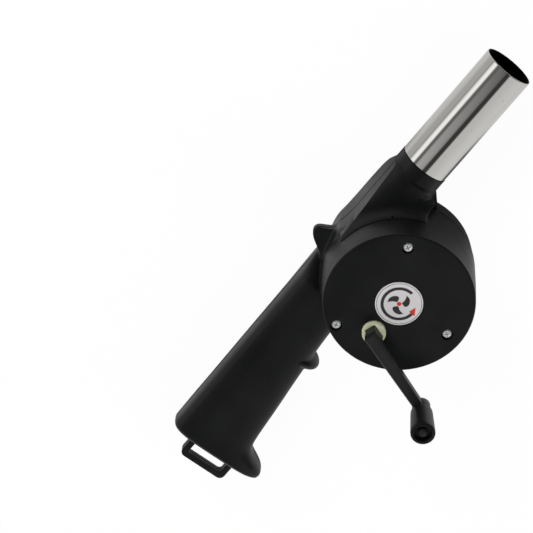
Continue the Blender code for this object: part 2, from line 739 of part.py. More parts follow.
def gear_cover():
    """The cup over the gears, with a sleeve for each screw and a hole for the crank's hub."""
    rim = COVER_RADIUS - COVER_DRAFT
    corner = arc(rim - COVER_ROUNDING, COVER_FACE - COVER_ROUNDING, COVER_ROUNDING, 0, 90, 2)
    rings = [(COVER_RADIUS, COVER_SEAT + SEAM / 2), *corner]
    cover = stacked("gear_cover", rings, DRUM_SIDES, cutter=False, material=BLACK)
    inside = COVER_RADIUS - COVER_WALL
    space = stacked("gear_space", [(inside, COVER_SEAT - 0.001), (inside, COVER_CEILING)], DRUM_SIDES)
    combine(cover, "DIFFERENCE", space)
    floor = COVER_FACE - COVER_HEAD_DEPTH
    sleeve_low = floor - COVER_SEAT_THICKNESS
    buried = COVER_CEILING + COVER_TOP / 3
    sleeves = [(x, y, sleeve_low, buried, COVER_SLEEVE_RADIUS) for x, y in COVER_SCREW_PLACES]
    sleeves.append((*idler_place(), COVER_CEILING - 0.0011, buried, PIN_BOSS_RADIUS))
    combine(cover, "UNION", rods("cover_sleeves", sleeves))
    holes = [
        (x, y, sleeve_low - 0.001, COVER_FACE + 0.001, SCREW_RADIUS + SCREW_HOLE_CLEARANCE)
        for x, y in COVER_SCREW_PLACES
    ]
    below, above = COVER_CEILING - 0.002, COVER_FACE + 0.001
    holes.append((*idler_place(), below, COVER_CEILING + 0.0004, PIN_RADIUS + PRESS_CLEARANCE))
    wide = [
        (0.0, -CRANK_OFFSET, below, above, HUB_RADIUS + HUB_CLEARANCE),
        (0.0, 0.0, COVER_FACE - LABEL_RECESS, above, LABEL_RADIUS + SEAM),
    ]
    sinks = [
        (x, y, floor, COVER_FACE + 0.001, HEAD_RADIUS + COUNTERBORE_CLEARANCE)
        for x, y in COVER_SCREW_PLACES
    ]
    combine(cover, "DIFFERENCE", rods("cover_holes", holes), rods("cover_sinks", sinks))
    combine(cover, "DIFFERENCE", rods("cover_openings", wide, 24))
    return cover


def outlet_tube():
    """A thin tube that butts on the collar and holds on the spigot."""
    start = COLLAR_END + SEAM
    end = COLLAR_END + TUBE_LENGTH
    inner = TUBE_RADIUS - TUBE_WALL
    edge = TUBE_WALL / 4
    half = (end - start) / 2
    tube = turned(
        "outlet_tube",
        [
            (TUBE_RADIUS - edge, half),
            (TUBE_RADIUS, half - edge),
            (TUBE_RADIUS, -half),
            (inner, -half),
            (inner, half),
        ],
        TUBE_SIDES,
        place=(TUBE_X, (start + end) / 2, PARTING),
        closed=True,
        cutter=False,
        material=STEEL,
    )
    tube.rotation_euler = (math.radians(-90.0), 0.0, 0.0)
    return tube


def pan_screw(name, x, y, seat, length, upward):
    """A pan-head screw with a cross recess. Its head sits at the seat, on the far side from the tip."""
    tip = -length
    profile = [
        (0.0, HEAD_HEIGHT),
        (HEAD_RADIUS * 0.7, HEAD_HEIGHT * 0.88),
        (HEAD_RADIUS, HEAD_HEIGHT * 0.4),
        (HEAD_RADIUS, 0.0),
        (SCREW_RADIUS, 0.0),
        (SCREW_RADIUS, tip + 0.0012),
        (0.0, tip),
    ]
    screw = turned(name, profile, 10, place=(x, y, seat), cutter=False, material=ZINC)
    arm, slot = HEAD_RADIUS * 0.52, HEAD_RADIUS * 0.13
    corners = [(arm, slot), (slot, slot), (slot, arm)]
    outline = []
    for quarter in range(4):
        turn = Matrix.Rotation(math.radians(90 * quarter), 2)
        outline += [tuple(turn @ Vector(corner)) for corner in corners]
    recess = flat_prism(name + "_recess", [outline], HEAD_HEIGHT * 0.4, HEAD_HEIGHT + 0.001)
    recess.location = screw.location
    if not upward:
        screw.rotation_euler = (math.pi, 0.0, 0.0)
        recess.rotation_euler = (math.pi, 0.0, 0.0)
    combine(screw, "DIFFERENCE", recess)
    return screw


def pitch_radius(teeth):
    return teeth * MODULE / 2


def idler_place():
    """The centre of the double gear, at its two centre distances from the crank and the fan."""
    to_crank = pitch_radius(CRANK_TEETH) + pitch_radius(IDLER_PINION_TEETH)
    to_fan = pitch_radius(IDLER_TEETH) + pitch_radius(FAN_TEETH)
    along = (to_fan**2 - to_crank**2 + CRANK_OFFSET**2) / (2 * CRANK_OFFSET)
    return math.sqrt(to_fan**2 - along**2), -along


def gear_outline(teeth, flank_points):
    """An involute gear outline about the origin, with a tooth centred on +X."""
    pitch = pitch_radius(teeth)
    pressure = math.radians(PRESSURE_ANGLE)
    base = pitch * math.cos(pressure)
    tip, root = pitch + ADDENDUM * MODULE, pitch - DEDENDUM * MODULE
    half_tooth = (math.pi * MODULE / 2 - BACKLASH / 2) / (2 * pitch)
    start = max(base, root)
    flank = [start + (tip - start) * i / flank_points for i in range(flank_points + 1)]

    def half_angle(radius):
        spread = math.acos(min(1.0, base / radius))
        return half_tooth + (math.tan(pressure) - pressure) - (math.tan(spread) - spread)

    side = [(radius, half_angle(radius)) for radius in flank]
    if root < base:
        side.insert(0, (root, half_angle(base)))
    points = []
    for tooth in range(teeth):
        middle = 2 * math.pi * tooth / teeth
        for radius, angle in side:
            points.append((radius * math.cos(middle - angle), radius * math.sin(middle - angle)))
        for radius, angle in reversed(side):
            points.append((radius * math.cos(middle + angle), radius * math.sin(middle + angle)))
    return points


def meshing_turn(teeth, turn, driven_teeth, direction):
    """The turn that puts the driven gear's gap where the driver's tooth is, towards it."""
    pitch = 2 * math.pi / teeth
    share = ((direction - turn) / pitch) % 1.0
    return direction + math.pi - (0.5 - share) * 2 * math.pi / driven_teeth


def set_turn(points, turn):
    spin = Matrix.Rotation(turn, 2)
    return [tuple(spin @ Vector(point)) for point in points]


def add_crank_gear():
    """The first gear, whose hub passes through the cover and holds the crank's key."""
    place = (0.0, -CRANK_OFFSET, 0.0)
    gear = flat_prism(
        "crank_gear",
        [gear_outline(CRANK_TEETH, 2)],
        UPPER_GEARS,
        UPPER_GEARS + FACE_WIDTH,
        cutter=False,
        material=NYLON,
        place=place,
    )
    shoulder = HUB_RADIUS + 0.0012
    hub = stacked(
        "crank_hub",
        [(shoulder, UPPER_GEARS + 0.0004), (shoulder, COVER_CEILING - SEAM)]
        + [(HUB_RADIUS, COVER_CEILING - SEAM), (HUB_RADIUS, HUB_TOP - 0.0005)]
        + [(HUB_RADIUS - 0.0005, HUB_TOP)],
        20,
        place=place,
    )
    combine(gear, "UNION", hub)
    socket = crank_key("crank_socket", KEY_CLEARANCE, key_bottom(), HUB_TOP + 0.001)
    shape = bmesh.new()
    bore_top = UPPER_GEARS + FACE_WIDTH - 0.0003
    add_rod(shape, 0.0, 0.0, UPPER_GEARS - 0.001, bore_top, POST_RADIUS + RUNNING_CLEARANCE * 1.5, 12)
    bore = add_object("crank_bore", finished_mesh(shape, "crank_bore"), place=place)
    combine(gear, "DIFFERENCE", socket, bore)
    return gear


def crank_key(name, clearance, low, high):
    """The crank's flat-sided key, or its socket in the hub, set square to the arm."""
    length, width = KEY_LENGTH / 2 + clearance, KEY_WIDTH / 2 + clearance
    outline = rounded_box(-length, length, -width, width, KEY_CORNER, 2)
    turned_outline = set_turn(outline, math.radians(CRANK_ANGLE))
    return flat_prism(name, [turned_outline], low, high, place=(0.0, -CRANK_OFFSET, 0.0))


def key_bottom():
    """The floor of the key's socket in the hub."""
    return UPPER_GEARS + FACE_WIDTH + 0.0006


def add_idler_gear():
    """The double gear: its small half meets the crank gear, its large half the fan pinion."""
    place = (*idler_place(), 0.0)
    to_crank = math.atan2(-CRANK_OFFSET - place[1], -place[0])
    from_crank = to_crank + math.pi
    turn = meshing_turn(CRANK_TEETH, 0.0, IDLER_PINION_TEETH, from_crank)
    gear = flat_prism(
        "idler_gear",
        [set_turn(gear_outline(IDLER_TEETH, 2), turn)],
        LOWER_GEARS,
        LOWER_GEARS + FACE_WIDTH,
        cutter=False,
        material=NYLON,
        place=place,
    )
    pinion = flat_prism(
        "idler_pinion",
        [set_turn(gear_outline(IDLER_PINION_TEETH, 2), turn)],
        LOWER_GEARS + FACE_WIDTH - 0.0006,
        UPPER_GEARS + FACE_WIDTH,
        place=place,
    )
    shape = bmesh.new()
    add_rod(shape, 0.0, 0.0, LOWER_GEARS - 0.001, COVER_FACE, PIN_RADIUS + RUNNING_CLEARANCE, 12)
    bore = add_object("idler_bore", finished_mesh(shape, "idler_bore"), place=place)
    combine(gear, "UNION", pinion)
    combine(gear, "DIFFERENCE", bore)
    return turn


def add_fan_pinion(idler_turn):
    """The last gear, pressed on the impeller's shaft."""
    x, y = idler_place()
    turn = meshing_turn(IDLER_TEETH, idler_turn, FAN_TEETH, math.atan2(-y, -x))
    pinion = flat_prism(
        "fan_pinion",
        [set_turn(gear_outline(FAN_TEETH, 2), turn)],
        LOWER_GEARS,
        LOWER_GEARS + FACE_WIDTH,
        cutter=False,
        material=NYLON,
    )
    bore = rods(
        "fan_bore",
        [(0.0, 0.0, LOWER_GEARS - 0.001, LOWER_GEARS + FACE_WIDTH + 0.001, SHAFT_RADIUS + PRESS_CLEARANCE)],
    )
    combine(pinion, "DIFFERENCE", bore)


def impeller_top():
    """The upper end of the impeller's hub, just under the front bearing."""
    return CHAMBER_TOP - FRONT_BEARING_HEIGHT - IMPELLER_END_PLAY


def add_impeller():
    """A disc with a hub and swept vanes that reach towards the inlet."""
    top = impeller_top()
    disc_top = top - 0.0002
    disc_low = disc_top - IMPELLER_DISC
    hub_low = WALL + BACK_BEARING_HEIGHT + IMPELLER_END_PLAY
    edge = [(IMPELLER_RADIUS, disc_low), (IMPELLER_RADIUS, disc_top)]
    impeller = stacked("impeller", edge, 36, cutter=False, material=BLACK)
    hub_rings = [(IMPELLER_HUB_RADIUS - 0.0003, hub_low), (IMPELLER_HUB_RADIUS, top)]
    hub = stacked("impeller_hub", hub_rings, 16)
    vanes = []
    steps = 4
    for vane in range(IMPELLER_VANES):
        sides = ([], [])
        for i in range(steps + 1):
            share = i / steps
            radius = VANE_INNER_RADIUS + (IMPELLER_RADIUS - 0.0004 - VANE_INNER_RADIUS) * share
            angle = 2 * math.pi * vane / IMPELLER_VANES + math.radians(VANE_SWEEP) * share**1.4
            half = VANE_THICKNESS / 2 / radius
            for side, turn in zip(sides, (angle - half, angle + half)):
                side.append((radius * math.cos(turn), radius * math.sin(turn)))
        vanes.append(sides[0] + sides[1][::-1])
    blades = flat_prism("vanes", vanes, disc_low - VANE_HEIGHT, disc_low + IMPELLER_DISC / 2)
    bore = rods("impeller_bore", [(0.0, 0.0, 0.0, COVER_FACE, SHAFT_RADIUS + PRESS_CLEARANCE)])
    combine(impeller, "UNION", hub, blades)
    combine(impeller, "DIFFERENCE", bore)
    return impeller


def plain_rod(name, x, y, low, high, radius, material, chamfer):
    """A pin or shaft with chamfered ends."""
    profile = [(0.0, high), (radius - chamfer, high), (radius, high - chamfer)]
    profile += [(radius, low + chamfer), (radius - chamfer, low), (0.0, low)]
    return turned(name, profile, 12, place=(x, y, 0.0), cutter=False, material=material)


def arm_height(share):
    """The middle of the arm above the cover's face, from the hub (0) to the knob (1)."""
    return ARM_START + ARM_RISE * share


def knob_place():
    x, y = polar(CRANK_RADIUS, CRANK_ANGLE)
    return x, y - CRANK_OFFSET


def add_crank_arm():
    """The arm with its key, its end boss and the knob's pin, moulded as one."""
    turn = math.radians(CRANK_ANGLE)
    start = -ARM_WIDTH / 2 - (KEY_LENGTH - KEY_WIDTH) / 2
    across, up = ARM_WIDTH / 2, ARM_THICKNESS / 2
    shape = bmesh.new()
    loops = []
    sides = 12
    for y, share in ((start, 0.0), (0.0, 0.0), (CRANK_RADIUS / 2, 0.5), (CRANK_RADIUS, 1.0)):
        points = rounded_section(-across, across, up, up, ARM_SQUARENESS, ARM_SQUARENESS, sides)
        loops.append([shape.verts.new((y, -x, z + arm_height(share))) for x, z in points])
    for first, second in zip(loops, loops[1:]):
        for i in range(sides):
            j = (i + 1) % sides
            shape.faces.new((first[i], first[j], second[j], second[i]))
    shape.faces.new(loops[0])
    shape.faces.new(loops[-1])
    arm = add_object(
        "crank_arm", finished_mesh(shape, "crank_arm"), False, BLACK, (0.0, -CRANK_OFFSET, 0.0)
    )
    arm.rotation_euler = (0.0, 0.0, turn)
    key = crank_key("crank_key", 0.0, key_bottom() + SEAM, ARM_START)
    end_top = ARM_START + ARM_RISE + ARM_THICKNESS / 2
    end_low = end_top - ARM_THICKNESS - ARM_BOSS_DROP
    boss = turned(
        "arm_boss",
        [(0.0, end_top), (ARM_BOSS_RADIUS - 0.0004, end_top), (ARM_BOSS_RADIUS, end_top - 0.0004)]
        + [(ARM_BOSS_RADIUS, end_low + 0.0006), (ARM_BOSS_RADIUS - 0.0006, end_low), (0.0, end_low)],
        16,
        place=(*knob_place(), 0.0),
    )
    recess_floor = knob_base() + KNOB_LENGTH - KNOB_RECESS_DEPTH
    head_low = recess_floor + KNOB_END_PLAY
    head_top = head_low + KNOB_HEAD_HEIGHT
    pin = turned(
        "knob_pin",
        [(0.0, head_top), (KNOB_HEAD_RADIUS - 0.0008, head_top), (KNOB_HEAD_RADIUS, head_low + 0.0005)]
        + [(KNOB_HEAD_RADIUS, head_low), (KNOB_PIN_RADIUS, head_low)]
        + [(KNOB_PIN_RADIUS, end_top - 0.001), (0.0, end_top - 0.001)],
        16,
        place=(*knob_place(), 0.0),
    )
    combine(arm, "UNION", key, boss, pin)
    return arm


def knob_base():
    return ARM_START + ARM_RISE + ARM_THICKNESS / 2 + KNOB_END_PLAY


def add_crank_knob():
    """A hollow knob that flares to a rounded end, free to turn on its pin."""
    base = knob_base()
    top = base + KNOB_LENGTH
    ball = KNOB_END_RADIUS
    bore = KNOB_PIN_RADIUS + KNOB_CLEARANCE
    floor = top - KNOB_RECESS_DEPTH
    outside = [
        (KNOB_RECESS_RADIUS, top - 0.0002),
        (KNOB_RECESS_RADIUS + 0.0004, top),
        (ball * 0.86, top - ball * 0.12),
        (ball * 0.98, top - ball * 0.42),
        (ball, top - ball * 0.70),
        (ball * 0.92, top - ball * 1.15),
        (KNOB_WAIST_RADIUS + 0.0002, top - ball * 1.75),
        (KNOB_WAIST_RADIUS, base + KNOB_LENGTH * 0.32),
        (KNOB_BASE_RADIUS, base + 0.0008),
        (KNOB_BASE_RADIUS - 0.0004, base),
    ]
    inside = [(bore, base), (bore, floor), (KNOB_RECESS_RADIUS, floor)]
    return turned(
        "crank_knob",
        outside + inside,
        20,
        place=(*knob_place(), 0.0),
        closed=True,
        cutter=False,
        material=BLACK,
    )


def build():
    outside, air, hollow = housing_outside(), air_way(), handle_hollow()
    front_shell(outside, air, hollow)
    back_shell(outside, air, hollow)
    gear_cover()
    outlet_tube()
    label_low = COVER_FACE - LABEL_RECESS + SEAM / 2
    shape = bmesh.new()
    add_rod(shape, 0.0, 0.0, label_low, label_low + LABEL_THICKNESS, LABEL_RADIUS, 32)
    add_object("label_disc", finished_mesh(shape, "label_disc"), False, LABEL)
    seat = COVER_FACE - COVER_HEAD_DEPTH + HEAD_SEAT_GAP
    for number, (x, y) in enumerate(COVER_SCREW_PLACES, 1):
        pan_screw(f"cover_screw_{number}", x, y, seat, COVER_SCREW_LENGTH, True)
    for number, (x, y, depth) in enumerate(BODY_SCREWS, 1):
        pan_screw(f"body_screw_{number}", x, y, depth - HEAD_SEAT_GAP, BODY_SCREW_LENGTH, False)
    add_crank_gear()
    add_fan_pinion(add_idler_gear())
    pin_low = COVER_SEAT - SEAM / 2 - WALL + 0.0008 + SEAM
    plain_rod("idler_pin", *idler_place(), pin_low, COVER_CEILING, PIN_RADIUS, PIN_STEEL, 0.0003)
    shaft_top = LOWER_GEARS + FACE_WIDTH + 0.0003
    plain_rod(
        "impeller_shaft", 0.0, 0.0, SHAFT_BACK_WALL + SEAM, shaft_top, SHAFT_RADIUS, PIN_STEEL, 0.0003
    )
    add_impeller()
    add_crank_arm()
    add_crank_knob()


build()
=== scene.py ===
import math

import bmesh
import bpy
from mathutils import Matrix, Vector


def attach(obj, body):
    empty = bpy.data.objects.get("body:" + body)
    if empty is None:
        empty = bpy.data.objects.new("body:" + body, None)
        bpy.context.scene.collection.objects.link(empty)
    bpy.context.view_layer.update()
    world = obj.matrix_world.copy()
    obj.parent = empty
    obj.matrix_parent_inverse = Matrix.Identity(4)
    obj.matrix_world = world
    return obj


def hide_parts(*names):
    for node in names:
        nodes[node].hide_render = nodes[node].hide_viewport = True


# The blower lies on its back: +Z is the side with the crank, +Y runs along the tube. Metres.
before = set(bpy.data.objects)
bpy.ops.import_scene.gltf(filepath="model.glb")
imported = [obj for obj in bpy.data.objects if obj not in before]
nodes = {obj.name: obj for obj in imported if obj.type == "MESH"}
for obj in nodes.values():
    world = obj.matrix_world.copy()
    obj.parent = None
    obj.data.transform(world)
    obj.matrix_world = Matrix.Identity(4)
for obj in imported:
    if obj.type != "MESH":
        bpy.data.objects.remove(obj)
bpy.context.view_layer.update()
scene = bpy.context.scene
print("frame loaded,", len(nodes), "nodes")

# sizes that several pieces share
body = {
    "parting": 0.0150,  # height of the plane between the two shells
    "seam": 0.0008,  # gap that shows as the parting line
    "coverSeam": 0.0001,  # gap between the drum's rim and the cover
    "wall": 0.0022,
    "drumRadius": 0.0380,
    "coverSeat": 0.0335,  # height of the drum's rim
    "coverFace": 0.0490,
    "tubeX": -0.0260,
    "tubeRadius": 0.0125,
    "collarEnd": 0.0533,
    "crankAxis": (0.0, -0.0194),
    "knobAxis": (0.04078266, -0.03424367),
    "armAngle": -20.0,
    "coverScrews": [(0.0295, 120.3), (0.0322, 239.5), (0.0287, 2.0)],  # radius, angle
    "drumScrews": [(0.0330, 38.0), (0.0330, 100.0), (0.0330, 322.0)],  # radius, angle
    "handleScrews": [(-0.0170, -0.1200), (-0.0195, -0.0780), (-0.0265, -0.0360)],
    "sinkDepths": (0.0070, 0.0026),  # counterbores in the handle and in the drum
}


def polar(radius, degrees):
    # x and y from a radius and an angle
    turn = math.radians(degrees)
    return (radius * math.cos(turn), radius * math.sin(turn))


tubeMiddle = (body["tubeX"], 0.0, body["parting"])
coverScrews = [polar(*spot) for spot in body["coverScrews"]]
drumScrews = [polar(*spot) for spot in body["drumScrews"]]
handleDepth, drumDepth = body["sinkDepths"]
bodyScrews = [(x, y, handleDepth) for x, y in body["handleScrews"]]
bodyScrews += [(x, y, drumDepth) for x, y in drumScrews]


# making meshes


def takeMesh(name, shape, angle=32):
    # the bmesh becomes an object, smooth except along its sharp edges
    bmesh.ops.recalc_face_normals(shape, faces=shape.faces)
    mesh = bpy.data.meshes.new(name)
    shape.to_mesh(mesh)
    shape.free()
    piece = bpy.data.objects.new(name, mesh)
    scene.collection.objects.link(piece)
    softShade(piece, angle)
    return piece


def softShade(piece, angle):
    piece.data.shade_smooth()
    piece.data.set_sharp_from_angle(angle=math.radians(angle))


def skinLoops(loops, ring=False):
    # faces from loop to loop; the ends are filled, or joined up for a ring
    shape = bmesh.new()
    rows = [[shape.verts.new(point) for point in loop] for loop in loops]
    pairs = list(zip(rows, rows[1:]))
    if ring:
        pairs.append((rows[-1], rows[0]))
    for first, second in pairs:
        count = len(first)
        for i in range(count):
            j = (i + 1) % count
            shape.faces.new((first[i], first[j], second[j], second[i]))
    if not ring:
        shape.faces.new(rows[0])
        shape.faces.new(rows[-1])
    return shape


def turned(name, profile, sides, ring=False, at=(0, 0, 0), matrix=None, angle=32):
    # a profile of (radius, height) turned about Z
    turns = [2 * math.pi * i / sides for i in range(sides)]
    loops = [[(r * math.cos(turn), r * math.sin(turn), z) for turn in turns] for r, z in profile]
    shape = skinLoops(loops, ring)
    place = Matrix.Translation(at) @ (matrix or Matrix())
    bmesh.ops.transform(shape, matrix=place, verts=shape.verts)
    return takeMesh(name, shape, angle)


def rod(name, radius, low, high, sides, at=(0, 0)):
    return turned(name, [(radius, low), (radius, high)], sides, at=(*at, 0))


def stackedOutlines(name, levels):
    # levels of (outline, height), each outline with the same number of points
    return takeMesh(name, skinLoops([[(x, y, z) for x, y in line] for line, z in levels]))


def plate(name, line, low, high):
    return stackedOutlines(name, [(line, low), (line, high)])


def arcPoints(cx, cy, radius, start, end, count):
    spots = [polar(radius, start + (end - start) * i / count) for i in range(count + 1)]
    return [(cx + x, cy + y) for x, y in spots]


def roundedBox(left, right, low, high, corner, count=6):
    return (
        arcPoints(right - corner, high - corner, corner, 0, 90, count)
        + arcPoints(left + corner, high - corner, corner, 90, 180, count)
        + arcPoints(left + corner, low + corner, corner, 180, 270, count)
        + arcPoints(right - corner, low + corner, corner, 270, 360, count)
    )


def bake(piece):
    # the modifiers' result becomes the mesh
    bpy.context.view_layer.update()
    graph = bpy.context.evaluated_depsgraph_get()
    done = bpy.data.meshes.new_from_object(piece.evaluated_get(graph))
    old = piece.data
    piece.modifiers.clear()
    piece.data = done
    bpy.data.meshes.remove(old)


def modify(piece, kind, **settings):
    step = piece.modifiers.new(kind, kind)
    for key, value in settings.items():
        setattr(step, key, value)
    bake(piece)


def combine(piece, operation, tools):
    # the tools are used up
    for tool in tools:
        modify(piece, "BOOLEAN", operation=operation, solver="MANIFOLD", object=tool)
        bpy.data.objects.remove(tool, do_unlink=True)
    return piece


def joined(name, pieces):
    # several closed bodies in one mesh, to be grown together by a remesh
    shape = bmesh.new()
    for piece in pieces:
        shape.from_mesh(piece.data)
        bpy.data.objects.remove(piece, do_unlink=True)
    return takeMesh(name, shape)


def rectangle(left, low, right, high):
    return [(left, low), (right, low), (right, high), (left, high)]


def box(name, low, high):
    return plate(name, rectangle(*low[:2], *high[:2]), low[2], high[2])


def beyond(axis, level, side=1):
    # all that lies past a level, as a great box
    low, high = [-0.4] * 3, [0.4] * 3
    (low if side > 0 else high)["xyz".index(axis)] = level
    return box("beyond", low, high)


def eased(keys, place):
    # the value at a place between (place, value) keys, smooth and without overshoot
    if place <= keys[0][0]:
        return keys[0][1]
    if place >= keys[-1][0]:
        return keys[-1][1]
    widths = [b[0] - a[0] for a, b in zip(keys, keys[1:])]
    slopes = [(b[1] - a[1]) / w for a, b, w in zip(keys, keys[1:], widths)]
    i = max(k for k in range(len(widths)) if keys[k][0] <= place)

    def tangent(k):
        if k == 0 or k == len(widths):
            return slopes[min(k, len(slopes) - 1)]
        before, after = slopes[k - 1], slopes[k]
        return 0.0 if before * after <= 0 else 2 * before * after / (before + after)

    t = (place - keys[i][0]) / widths[i]
    start, end = tangent(i) * widths[i], tangent(i + 1) * widths[i]
    rise = (3 * t * t - 2 * t**3) * (keys[i + 1][1] - keys[i][1])
    return keys[i][1] + rise + (t**3 - 2 * t * t + t) * start + (t**3 - t * t) * end


def roundSection(left, right, up, down, squareUp, squareDown, overhang, sides):
    # a rounded section about z = 0; its upper part can overhang on the left
    points = []
    for i in range(sides):
        turn = 2 * math.pi * i / sides
        c, s = math.cos(turn), math.sin(turn)
        power = 2 / (squareUp if s > 0 else squareDown)
        start = left - (overhang if s > 0 else 0.0)
        centre, half = (start + right) / 2, (right - start) / 2
        x = centre + half * math.copysign(abs(c) ** power, c)
        z = math.copysign(abs(s) ** power, s)
        points.append((x, z * (up if s > 0 else down)))
    return points


def skinned(name, loops):
    shape = skinLoops(loops)
    bmesh.ops.triangulate(shape, faces=shape.faces)
    return takeMesh(name, shape)


def loft(name, sections, sides):
    # a skin through sections, each a y and the values of a rounded section about the parting plane
    loops = []
    for y, *rest in sections:
        loops.append([(x, y, z + body["parting"]) for x, z in roundSection(*rest, sides)])
    return skinned(name, loops)


def steps(start, end, spacing):
    count = max(1, math.ceil((end - start) / spacing))
    return [start + (end - start) * i / count for i in range(count + 1)]


# materials: every one is made of nodes, in object coordinates


def feed(socket, value):
    # a socket takes a plain value or the output of another node
    if isinstance(value, bpy.types.NodeSocket):
        socket.id_data.links.new(value, socket)
    else:
        socket.default_value = value


def fill(node, **values):
    # sockets by name, with _ for a space
    for name, value in values.items():
        feed(node.inputs[name.replace("_", " ")], value)
    return node


def put(tree, kind, settings=None, **values):
    # a new node with its settings, and its sockets by name
    node = tree.nodes.new("ShaderNode" + kind)
    for key, value in (settings or {}).items():
        setattr(node, key, value)
    return fill(node, **values)


def startMaterial(name, metallic=0.0, ior=1.46):
    material = bpy.data.materials.new(name)
    material.use_nodes = True
    shader = material.node_tree.nodes["Principled BSDF"]
    return material, material.node_tree, fill(shader, Metallic=metallic, IOR=ior)


def coordinates(tree, scale=(1, 1, 1)):
    where = put(tree, "TexCoord").outputs["Object"]
    return put(tree, "Mapping", Vector=where, Scale=scale).outputs["Vector"]


def cloud(tree, scale, detail=2.0, roughness=0.5, stretch=(1, 1, 1)):
    noise = put(tree, "TexNoise", Scale=scale, Detail=detail, Roughness=roughness)
    return fill(noise, Vector=coordinates(tree, stretch)).outputs["Fac"]


def ranged(tree, source, low, high, to=(0.0, 1.0)):
    # the source between low and high is spread over the two values of "to"
    node = put(tree, "MapRange", Value=source, From_Min=low, From_Max=high)
    return fill(node, To_Min=to[0], To_Max=to[1]).outputs["Result"]


def calculated(tree, operation, *values):
    node = put(tree, "Math", {"operation": operation})
    for socket, value in zip(node.inputs, values):
        feed(socket, value)
    return node.outputs[0]


def times(tree, first, second):
    return calculated(tree, "MULTIPLY", first, second)


def plus(tree, first, second):
    return calculated(tree, "ADD", first, second)


def vectorMath(tree, operation, *values):
    # a product is a vector; a length, a distance and a dot product are numbers
    node = put(tree, "VectorMath", {"operation": operation})
    for socket, value in zip(node.inputs, values):
        feed(socket, value)
    return node.outputs["Vector" if operation == "MULTIPLY" else "Value"]


def blended(tree, amount, first, second):
    node = put(tree, "Mix", {"data_type": "RGBA"}, Factor=amount)
    for socket, value in ((node.inputs[6], first), (node.inputs[7], second)):
        feed(socket, (*value, 1) if isinstance(value, tuple) else value)
    return node.outputs[2]


def roundedEdges(tree, radius):
    # softens the shading of sharp edges
    return put(tree, "Bevel", {"samples": 6}, Radius=radius).outputs[0]


def wornEdges(tree, soft):
    # where the softened shading leaves the true one is an edge
    plain = put(tree, "NewGeometry").outputs["Normal"]
    return ranged(tree, vectorMath(tree, "DOT_PRODUCT", soft, plain), 0.99, 0.86)


def bumped(tree, height, strength, distance, normal=None):
    node = put(tree, "Bump", Height=height, Strength=strength, Distance=distance)
    if normal:
        fill(node, Normal=normal)
    return node.outputs[0]


blackPlastic = {
    "dark": (0.0033, 0.0035, 0.0037),
    "pale": (0.0058, 0.0060, 0.0062),
    "worn": (0.0220, 0.0220, 0.0220),
    "gloss": 0.36,
    "roughness": (0.36, 0.47),
    "grainSize": 2600.0,  # grains a metre
    "grainDepth": 0.00002,
    "edge": 0.00022,
}


def makeBlackPlastic(name, look, flow):
    material, tree, shader = startMaterial(name)
    normal = roundedEdges(tree, look["edge"])
    tint = ranged(tree, cloud(tree, 45, 4), 0.35, 0.65)
    colour = blended(tree, tint, look["dark"], look["pale"])
    # edges are rubbed paler, in patches
    patches = ranged(tree, cloud(tree, 220, 3), 0.45, 0.7, (0.0, 0.7))
    colour = blended(tree, times(tree, wornEdges(tree, normal), patches), colour, look["worn"])
    # handling leaves slow changes of gloss, and hairlines run with the mould's flow
    smudge = ranged(tree, cloud(tree, 30, 3, 0.55), 0.35, 0.65, look["roughness"])
    lines = tuple(axis * 18 if axis == 1 else axis for axis in flow)
    hair = ranged(tree, cloud(tree, 90, 2, 0.6, lines), 0.66, 0.74, (0.0, 0.10))
    fine = ranged(tree, cloud(tree, 1400, 1), 0.3, 0.7, (-0.03, 0.03))
    rough = plus(tree, plus(tree, smudge, hair), fine)
    grain = cloud(tree, look["grainSize"], 2, 0.6)
    height = plus(tree, grain, times(tree, cloud(tree, 160, 1), 0.8))
    bump = bumped(tree, height, 0.5, look["grainDepth"], normal)
    fill(shader, Base_Color=colour, Roughness=rough, Normal=bump, Specular_IOR_Level=look["gloss"])
    return material


nylon = {
    "colours": ((0.52, 0.53, 0.37), (0.43, 0.44, 0.30)),
    "mottle": (320, 4, 0.5, 0.35, 0.65),  # scale, detail and roughness of the noise, low, high
    "smudge": (700, 2),  # scale and detail of the noise in the gloss
    "roughness": (0.34, 0.46),
    "grain": (1800, 2, 0.4, 0.00002),  # scale and detail of the noise, strength, depth
    "edge": 0.00015,
    "ior": 1.53,
    "glow": 0.15,  # light that passes under the surface
}

zinc = {
    "colours": ((0.86, 0.87, 0.88), (0.70, 0.72, 0.74)),
    "mottle": (900, 4, 0.6, 0.38, 0.62),
    "smudge": (1600, 2),
    "roughness": (0.18, 0.36),
    "grain": (2600, 3, 0.5, 0.00002),
    "edge": 0.00008,
    "metal": 0.55,
}

film = {
    "colours": ((0.58, 0.56, 0.565), (0.52, 0.505, 0.51)),
    "mottle": (2400, 3, 0.7, 0.35, 0.65),
    "smudge": (500, 2),
    "roughness": (0.32, 0.42),
    "grain": (1100, 2, 0.3, 0.00001),
}

ink = {**film, "colours": ((0.020, 0.018, 0.019), (0.032, 0.030, 0.031)), "roughness": (0.35, 0.45)}


def makeMottled(name, look):
    # two tones, uneven gloss and a fine grain
    material, tree, shader = startMaterial(name, look.get("metal", 0.0), look.get("ior", 1.46))
    fill(shader, Subsurface_Weight=look.get("glow", 0.0), Subsurface_Scale=0.001)
    scale, detail, roughness, low, high = look["mottle"]
    mottle = ranged(tree, cloud(tree, scale, detail, roughness), low, high)
    rough = ranged(tree, cloud(tree, *look["smudge"]), 0.3, 0.7, look["roughness"])
    scale, detail, strength, depth = look["grain"]
    normal = roundedEdges(tree, look["edge"]) if "edge" in look else None
    bump = bumped(tree, cloud(tree, scale, detail), strength, depth, normal)
    fill(shader, Base_Color=blended(tree, mottle, *look["colours"]), Roughness=rough, Normal=bump)
    return material


